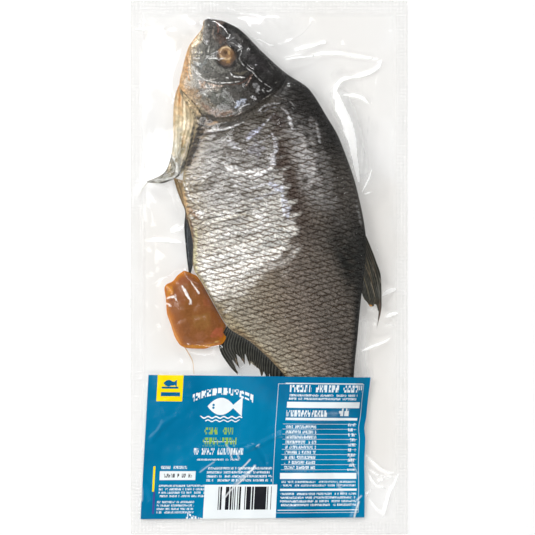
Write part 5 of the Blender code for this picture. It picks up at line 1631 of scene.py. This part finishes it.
def make_roe(finish):
    """The roe: a flat lump with round edges, which lies on the sheet against the belly."""
    outline = from_photo(ROE_EDGE)
    closed = np.vstack([outline, outline[:1]])
    rim = smooth_row(closed, np.linspace(0, 1, ROE_SPOKES, endpoint=False))
    centre = from_photo(ROE_MIDDLE)
    places, crowns, keels = [], [], []
    for share in np.sin(0.5 * math.pi * np.linspace(0.02, 1, ROE_RINGS)):
        station, offset = to_fish(centre + (rim - centre) * share)
        least = half_width(station, offset) + ROE_GAP / BODY_LENGTH
        ring = to_pack(station, np.minimum(offset, -least))
        from_ride = np.linalg.norm(ring - from_photo(ROE_RIDE_MIDDLE), axis=-1)
        ride = ROE_RIDE * soft_bump(from_ride / ROE_RIDE_REACH)
        base = ROE_BASE + ride
        edge = base + ROE_EDGE_SHARE * ROE_THICKNESS
        places.append(ring)
        crowns.append(edge + ((1 - ROE_EDGE_SHARE) * ROE_THICKNESS - ride) * (1 - share**4))
        keels.append(base + (edge - base) * share**8)
    flat = np.vstack(places + places[-2::-1])
    height = np.concatenate(crowns + keels[-2::-1])
    upper = np.arange(len(flat)) < ROE_RINGS * ROE_SPOKES
    gap = distance_to_line(closed, flat)
    canvas = Canvas(flat, colour_line(ROE_COLOURS, gap / ROE_COLOUR_REACH + 0.05 * ripples(flat, 9 * MM, 63)))
    canvas.marks(ROE_MARKS_AND_GLINTS, uneven=0.12, soft=0.25, broken=0.0)
    lumps = layered(flat, ROE_LUMPS) + canvas.rise
    height = height + np.where(upper, lumps * smooth_step(0, 3 * MM, gap), 0)
    faces = ring_faces(2 * ROE_RINGS - 1, ROE_SPOKES)
    piece = face_up(mesh_piece("roe_piece", np.column_stack([flat, height]), faces, finish))
    store(piece, "skin", canvas.skin())
    return piece


def make_threads(sheet, finish):
    """The thread of skin below the roe, the wisp past the pectoral fin's tip and that fin's loose ray."""
    made = []
    for name, points, radius, colour in THREADS:
        places = smooth_row(from_photo(points), np.linspace(0, 1, THREAD_RINGS))
        line = np.column_stack([places, sheet(places) + FIN_LIFT])
        piece = tube(name, line, radius * MM * np.linspace(1, 0.3, THREAD_RINGS), finish)
        store(piece, "skin", np.tile(linear(colour), (len(piece.data.vertices), 1)))
        made.append(piece)
    return made


# ---------------------------------------------------------------- the film and the label


def surface_reader(solid, from_above=True):
    """A function for the height of a solid's upper or lower face, at places in the pack."""
    tree = BVHTree.FromObject(solid, bpy.context.evaluated_depsgraph_get())
    start, way = (1.0, -1.0) if from_above else (-1.0, 1.0)

    def height_at(places):
        heights = np.full(len(places), np.nan)
        for i, (x, y) in enumerate(places):
            hit = tree.ray_cast((x, y, start), (0, 0, way))[0]
            if hit is not None:
                heights[i] = hit.z
        return heights

    return height_at


def averaged(grid, passes):
    """The grid with each height averaged with its eight neighbours."""
    for _ in range(passes):
        padded = np.pad(grid, 1, mode="edge")
        rows, columns = grid.shape
        grid = sum(padded[i : i + rows, j : j + columns] for i in range(3) for j in range(3)) / 9
    return grid


def grown(grid, drop, passes):
    """The grid with each height raised to its neighbours', less the drop on the way."""
    for _ in range(passes):
        padded = np.pad(grid, 1, constant_values=-1.0)
        rows, columns = grid.shape
        for i in range(3):
            for j in range(3):
                near = padded[i : i + rows, j : j + columns]
                grid = np.maximum(grid, near - drop * math.hypot(i - 1, j - 1))
    return grid


def between(grid, across, along):
    """A function that reads heights between the points of a regular grid."""

    def height_at(places):
        places = np.asarray(places, float)
        step = (across[1] - across[0], along[1] - along[0])
        cell = np.clip((places - (across[0], along[0])) / step, 0, np.array(grid.shape) - 1.001)
        (i, j), (tx, ty) = cell.astype(int).T, (cell % 1).T
        near = grid[i, j] * (1 - tx) + grid[i + 1, j] * tx
        far = grid[i, j + 1] * (1 - tx) + grid[i + 1, j + 1] * tx
        return near * (1 - ty) + far * ty

    return height_at


def film_grid():
    """The places of the film's columns and rows."""
    low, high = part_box("film_bag")
    return np.linspace(low.x, high.x, FILM_COLUMNS + 1), np.linspace(low.y, high.y, FILM_ROWS + 1)


def sheet_heights(solid, across, along):
    """Heights of the moulded sheet's two faces on the film's grid."""
    x = np.clip(across, across[0] + SHEET_INSET, across[-1] - SHEET_INSET)
    y = np.clip(along, along[0] + SHEET_INSET, along[-1] - SHEET_INSET)
    places = grid_places(x, y).reshape(-1, 2)
    return [surface_reader(solid, above)(places).reshape(len(x), len(y)) for above in (True, False)]


def covering(marks, flat):
    """The strongest of some broad marks at each place: (points, half width in pixels, strength)."""
    strongest = np.zeros(len(flat))
    for number, (points, width, strength) in enumerate(marks):
        gap = distance_to_line(from_photo(curved(points)), flat) / (width * PIXEL)
        gap = gap * (1 + 0.15 * ripples(flat, 20 * MM, 250 + number, 8))
        strongest = np.maximum(strongest, strength * soft_bump(gap))
    return strongest


def from_edge(across, along, places):
    """How far inside the film's edge places lie."""
    return np.minimum(across[-1] - np.abs(places[..., 0]), along[-1] - np.abs(places[..., 1]))


def highest(contents, across, along):
    """The height of the highest point of the contents near each point of the film's grid."""
    least = np.full((len(across), len(along)), -1.0)
    for piece in contents:
        points = coordinates(piece)
        i = np.rint((points[:, 0] - across[0]) / (across[1] - across[0])).astype(int)
        j = np.rint((points[:, 1] - along[0]) / (along[1] - along[0])).astype(int)
        np.maximum.at(least, (np.clip(i, 0, FILM_COLUMNS), np.clip(j, 0, FILM_ROWS)), points[:, 2])
    return least


def film_front(across, along, top, bottom, contents, label_under):
    """Heights of the front film, drawn tight over what is in the pack, and how white its creases are: milky,
    with a painted highlight.
    """
    places = grid_places(across, along)
    flat = places.reshape(-1, 2)
    inside = smooth_step(SEAL_WIDTH, SEAL_WIDTH + 6 * MM, from_edge(across, along, places))
    least = grown(highest(contents, across, along), 0.12 * MM, 1) + FILM_GAP
    sheet = averaged(top, 4) * inside + top * (1 - inside)
    front = np.maximum(least, sheet + FILM_OVER_SHEET * inside)
    front = grown(front, FILM_SLOPE * (across[1] - across[0]), FILM_REACH)
    front = averaged(np.maximum(averaged(front, 3), least), 1)
    rise = np.zeros(len(flat))
    milk_and_glint = np.zeros(len(flat))
    for number, (points, width, height, white_share) in enumerate(FILM_WRINKLES):
        gap, way = along_line(from_photo(curved(points)), flat)
        gap = gap / (width * PIXEL * tapered(way)) * (1 + 0.12 * ripples(flat, 9 * MM, 200 + number, 8))
        rise = np.maximum(rise, height * MM * soft_bump(gap / 2.6))
        # the creases' whiteness: milky, with a painted highlight
        milk_and_glint = np.maximum(milk_and_glint, white_share * smooth_step(2.4, 0.0, gap))
    pleats = layered(flat, FILM_PLEATS)
    front = np.maximum(front + (rise + pleats).reshape(front.shape) * inside, least)
    front = np.where(np.isnan(label_under), front, np.minimum(front, label_under - FILM_UNDER_LABEL))
    return np.maximum(front, bottom + FILM_OVER_BACK), milk_and_glint


def make_film(across, along, front, milk_and_glint, bottom, finish):
    """Both films as one closed skin, with a coarser grid at the back."""
    places = grid_places(across, along)
    back = slice(None, None, FILM_BACK_STEP)
    lower_places = places[back, back].reshape(-1, 2)
    every = np.vstack([places.reshape(-1, 2), lower_places])
    heights = np.concatenate([front.ravel(), averaged(bottom, 2)[back, back].ravel()])
    index = np.arange(front.size).reshape(front.shape)
    low = front.size + np.arange(len(lower_places)).reshape(bottom[back, back].shape)
    quads = np.stack([index[:-1, :-1], index[1:, :-1], index[1:, 1:], index[:-1, 1:]], -1).reshape(-1, 4)
    under = np.stack([low[:-1, :-1], low[:-1, 1:], low[1:, 1:], low[1:, :-1]], -1).reshape(-1, 4)
    fine_rim, coarse_rim = (
        np.concatenate([grid[:-1, 0], grid[-1, :-1], grid[:0:-1, -1], grid[0, :0:-1]]).tolist()
        for grid in (index, low)
    )
    sides = []
    for i, corner in enumerate(coarse_rim):
        steps = [fine_rim[(FILM_BACK_STEP * i + k) % len(fine_rim)] for k in range(FILM_BACK_STEP, -1, -1)]
        sides.append([corner, coarse_rim[(i + 1) % len(coarse_rim)], *steps])
    faces = quads.tolist() + under.tolist() + sides
    piece = face_up(mesh_piece("film", np.column_stack([every, heights]), faces, finish, sharp_from=65))
    station, offset = to_fish(every)
    within = (station > 0) & (station < 1)
    share = np.where(within, np.abs(offset) / half_width(np.clip(station, 0, 1), offset), 2.0)
    x, y = scale_lattice(station, offset)
    seal = smooth_step(SEAL_WIDTH + 1.5 * MM, SEAL_WIDTH - 1.5 * MM, from_edge(across, along, every))
    store(piece, "cling", smooth_step(1.0, 0.93, share) * scaly_from(station, offset))
    # how white each crease is: milky, with a painted highlight
    store(piece, "milk_and_glint", np.concatenate([milk_and_glint, np.zeros(len(lower_places))]))
    # painted shade: a greyer tint of the film around the fish
    store(piece, "painted_shade", covering(FILM_PAINTED_SHADE, every) * (1 - smooth_step(1.0, 0.9, share)))
    store(piece, "calm", covering(FILM_CALM, every))
    # painted light: milky white that lightens the film's shaded parts and stands for broad reflections
    store(piece, "glow", covering(FILM_PAINTED_GLOW, every) * smooth_step(1.0, 1.05, share))
    store(piece, "seal", seal)
    store(piece, "lattice", np.column_stack([x, y, np.zeros(len(x))]))
    return piece


def label_box(left, top, right, bottom):
    """A box of print, given where the photograph shows it, on the flat label."""
    share = ((left + right) / 2 - PRINT_LEFT) / PRINT_WIDTH
    down = (bottom + top) / 2 - PRINT_TOP
    shift = down * (PRINT_SKEW[0] * (1 - share) + PRINT_SKEW[1] * share)
    tilt = PRINT_TILT * share
    return left + shift, top - tilt, right + shift, bottom - tilt


def make_label(solid, finish):
    """The label: a thin creased sheet laid over the tail."""
    top_left, top_right, bottom_right, bottom_left = LABEL_CORNERS
    u, v = np.meshgrid(np.linspace(0, 1, LABEL_COLUMNS + 1), np.linspace(0, 1, LABEL_ROWS + 1))
    left = bottom_left + (top_left - bottom_left) * v[..., None]
    right = bottom_right + (top_right - bottom_right) * v[..., None]
    places = left + (right - left) * u[..., None]
    places[..., 0] -= smooth_line(LABEL_RIGHT_EDGE, v) * u**3
    flat = places.reshape(-1, 2)
    middle = LABEL_CORNERS.mean(0)
    height = surface_reader(solid)(middle + (flat - middle) * LABEL_INSET).reshape(u.shape)
    rise = np.zeros(len(flat))
    for number, (points, width, crest) in enumerate(LABEL_CREASES):
        gap = distance_to_line(from_photo(curved(points)), flat) / (width * PIXEL)
        rise += crest * MM * soft_bump(gap * (1 + 0.2 * ripples(flat, 9 * MM, 300 + number, 8)) / 1.8)
    rise += layered(flat, LABEL_WAVES)
    height = averaged(height, 6) + np.maximum(rise, -0.5 * MM).reshape(height.shape)
    upper = np.column_stack([flat, height.ravel()])
    points = np.vstack([upper, upper - (0, 0, LABEL_THICKNESS)])
    faces = plate_faces(LABEL_ROWS + 1, LABEL_COLUMNS + 1)
    piece = face_up(mesh_piece("tail_label", points, faces, finish, sharp_from=60))
    print_x = PRINT_LEFT + PRINT_WIDTH * u.ravel()
    print_y = PRINT_TOP + PRINT_HEIGHT * (1 - v.ravel())
    store(piece, "print", np.tile(np.column_stack([print_x, print_y, np.zeros(len(print_x))]), (2, 1)))
    store(piece, "glare", np.tile(covering(LABEL_GLARE, flat), 2))
    return piece


def label_underside(across, along, label):
    """Height of the label's lower face on the film's grid, nan beyond it."""
    places = grid_places(across, along).reshape(-1, 2)
    return surface_reader(label, from_above=False)(places).reshape(len(across), len(along))


# ---------------------------------------------------------------- stage


def make_floor():
    """The table, with its surface a little below the pack."""
    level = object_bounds()[0].z - FLOOR_DROP
    corners = [(x * FLOOR_HALF, y * FLOOR_HALF, level) for x, y in ((-1, -1), (1, -1), (1, 1), (-1, 1))]
    mesh_piece("floor", corners, [[0, 1, 2, 3]], floor_material())


def area_light(name, direction, size, radiance):
    """A rectangular softbox that faces the pack from a direction, of the given radiance."""
    data = bpy.data.lights.new(name, "AREA")
    data.shape = "RECTANGLE"
    data.size, data.size_y = size
    data.energy = radiance * math.pi * size[0] * size[1]
    light = bpy.data.objects.new(name, data)
    bpy.context.scene.collection.objects.link(light)
    direction = Vector(direction).normalized()
    light.location = direction * LIGHT_DISTANCE
    light.rotation_euler = direction.to_track_quat("Z", "Y").to_euler()
    light.visible_camera = False


def make_room():
    """A room that is bright at the horizon, dark overhead, and brighter on the belly's side."""
    g = Graph(bpy.data.worlds.new("studio"))
    across, _, up = g.split(g.add("ShaderNodeTexCoord", output="Generated"))
    brightness = g.times(
        g.ramp(up, ROOM_LOW, ROOM_MIDDLE, 0.30, 0.75), g.ramp(up, 1.0, ROOM_TOP / ROOM_MIDDLE, 0.74, 0.95),
        g.ramp(across, ROOM_LEFT, ROOM_RIGHT, -0.4, 0.4),
    )
    room = g.add("ShaderNodeBackground", {"Color": g.grey(brightness), "Strength": 1.0})
    bpy.context.scene.world = g.finish(room, "ShaderNodeOutputWorld")


def make_camera():
    """Straight above the pack, far enough away that its view is nearly parallel."""
    data = bpy.data.cameras.new("camera")
    data.sensor_width = SENSOR_WIDTH
    data.lens = SENSOR_WIDTH * CAMERA_HEIGHT / (PHOTO_PIXELS * PIXEL)
    data.clip_end = 100.0
    camera = bpy.data.objects.new("camera", data)
    bpy.context.scene.collection.objects.link(camera)
    camera.location = (*from_photo((PHOTO_PIXELS / 2, PHOTO_PIXELS / 2)), CAMERA_HEIGHT)
    bpy.context.scene.camera = camera


# ---------------------------------------------------------------- all of it

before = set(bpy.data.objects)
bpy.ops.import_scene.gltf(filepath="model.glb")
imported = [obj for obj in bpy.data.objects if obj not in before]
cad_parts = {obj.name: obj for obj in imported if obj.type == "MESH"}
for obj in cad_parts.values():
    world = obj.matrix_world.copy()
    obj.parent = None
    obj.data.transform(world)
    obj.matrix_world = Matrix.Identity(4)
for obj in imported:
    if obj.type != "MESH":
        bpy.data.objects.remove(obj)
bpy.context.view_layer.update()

across, along = film_grid()
sheet_top, sheet_bottom = sheet_heights(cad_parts["film_bag"], across, along)
sheet_at = between(averaged(sheet_top, 3), across, along)

fin_finish = plain_skin_material("dried_fin", 0.45, 1400.0)
skin_finish = skin_material()
fish_pieces = [make_body(*part, skin_finish) for part in BODY_PARTS]
eye_finish = plain_skin_material("dried_eye", 0.25, 900.0)
fish_pieces += [make_eye("near_eye", 1, eye_finish), make_eye("far_eye", -1, eye_finish)]
fish_pieces += [make_fin(fin, look, fin_finish, sheet_at) for fin, look in FINS.items()]
roe_piece = make_roe(plain_skin_material("dried_roe", 0.22, 500.0))
threads = make_threads(sheet_at, fin_finish)
label_piece = make_label(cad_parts["label"], label_material())
front, milk_and_glint = film_front(
    across, along, sheet_top, sheet_bottom, fish_pieces + [roe_piece] + threads,
    label_underside(across, along, label_piece),
)
film_piece = make_film(across, along, front, milk_and_glint, sheet_bottom, film_material())

for piece in fish_pieces:
    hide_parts("fish")
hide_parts("roe")
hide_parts("label")
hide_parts("film_bag")
for piece in [*fish_pieces, roe_piece, *threads, label_piece, film_piece]:
    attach(piece, "root")

make_floor()
for light in LIGHTS:
    area_light(*light)
make_room()
make_camera()
bpy.context.scene.view_settings.view_transform = "Standard"
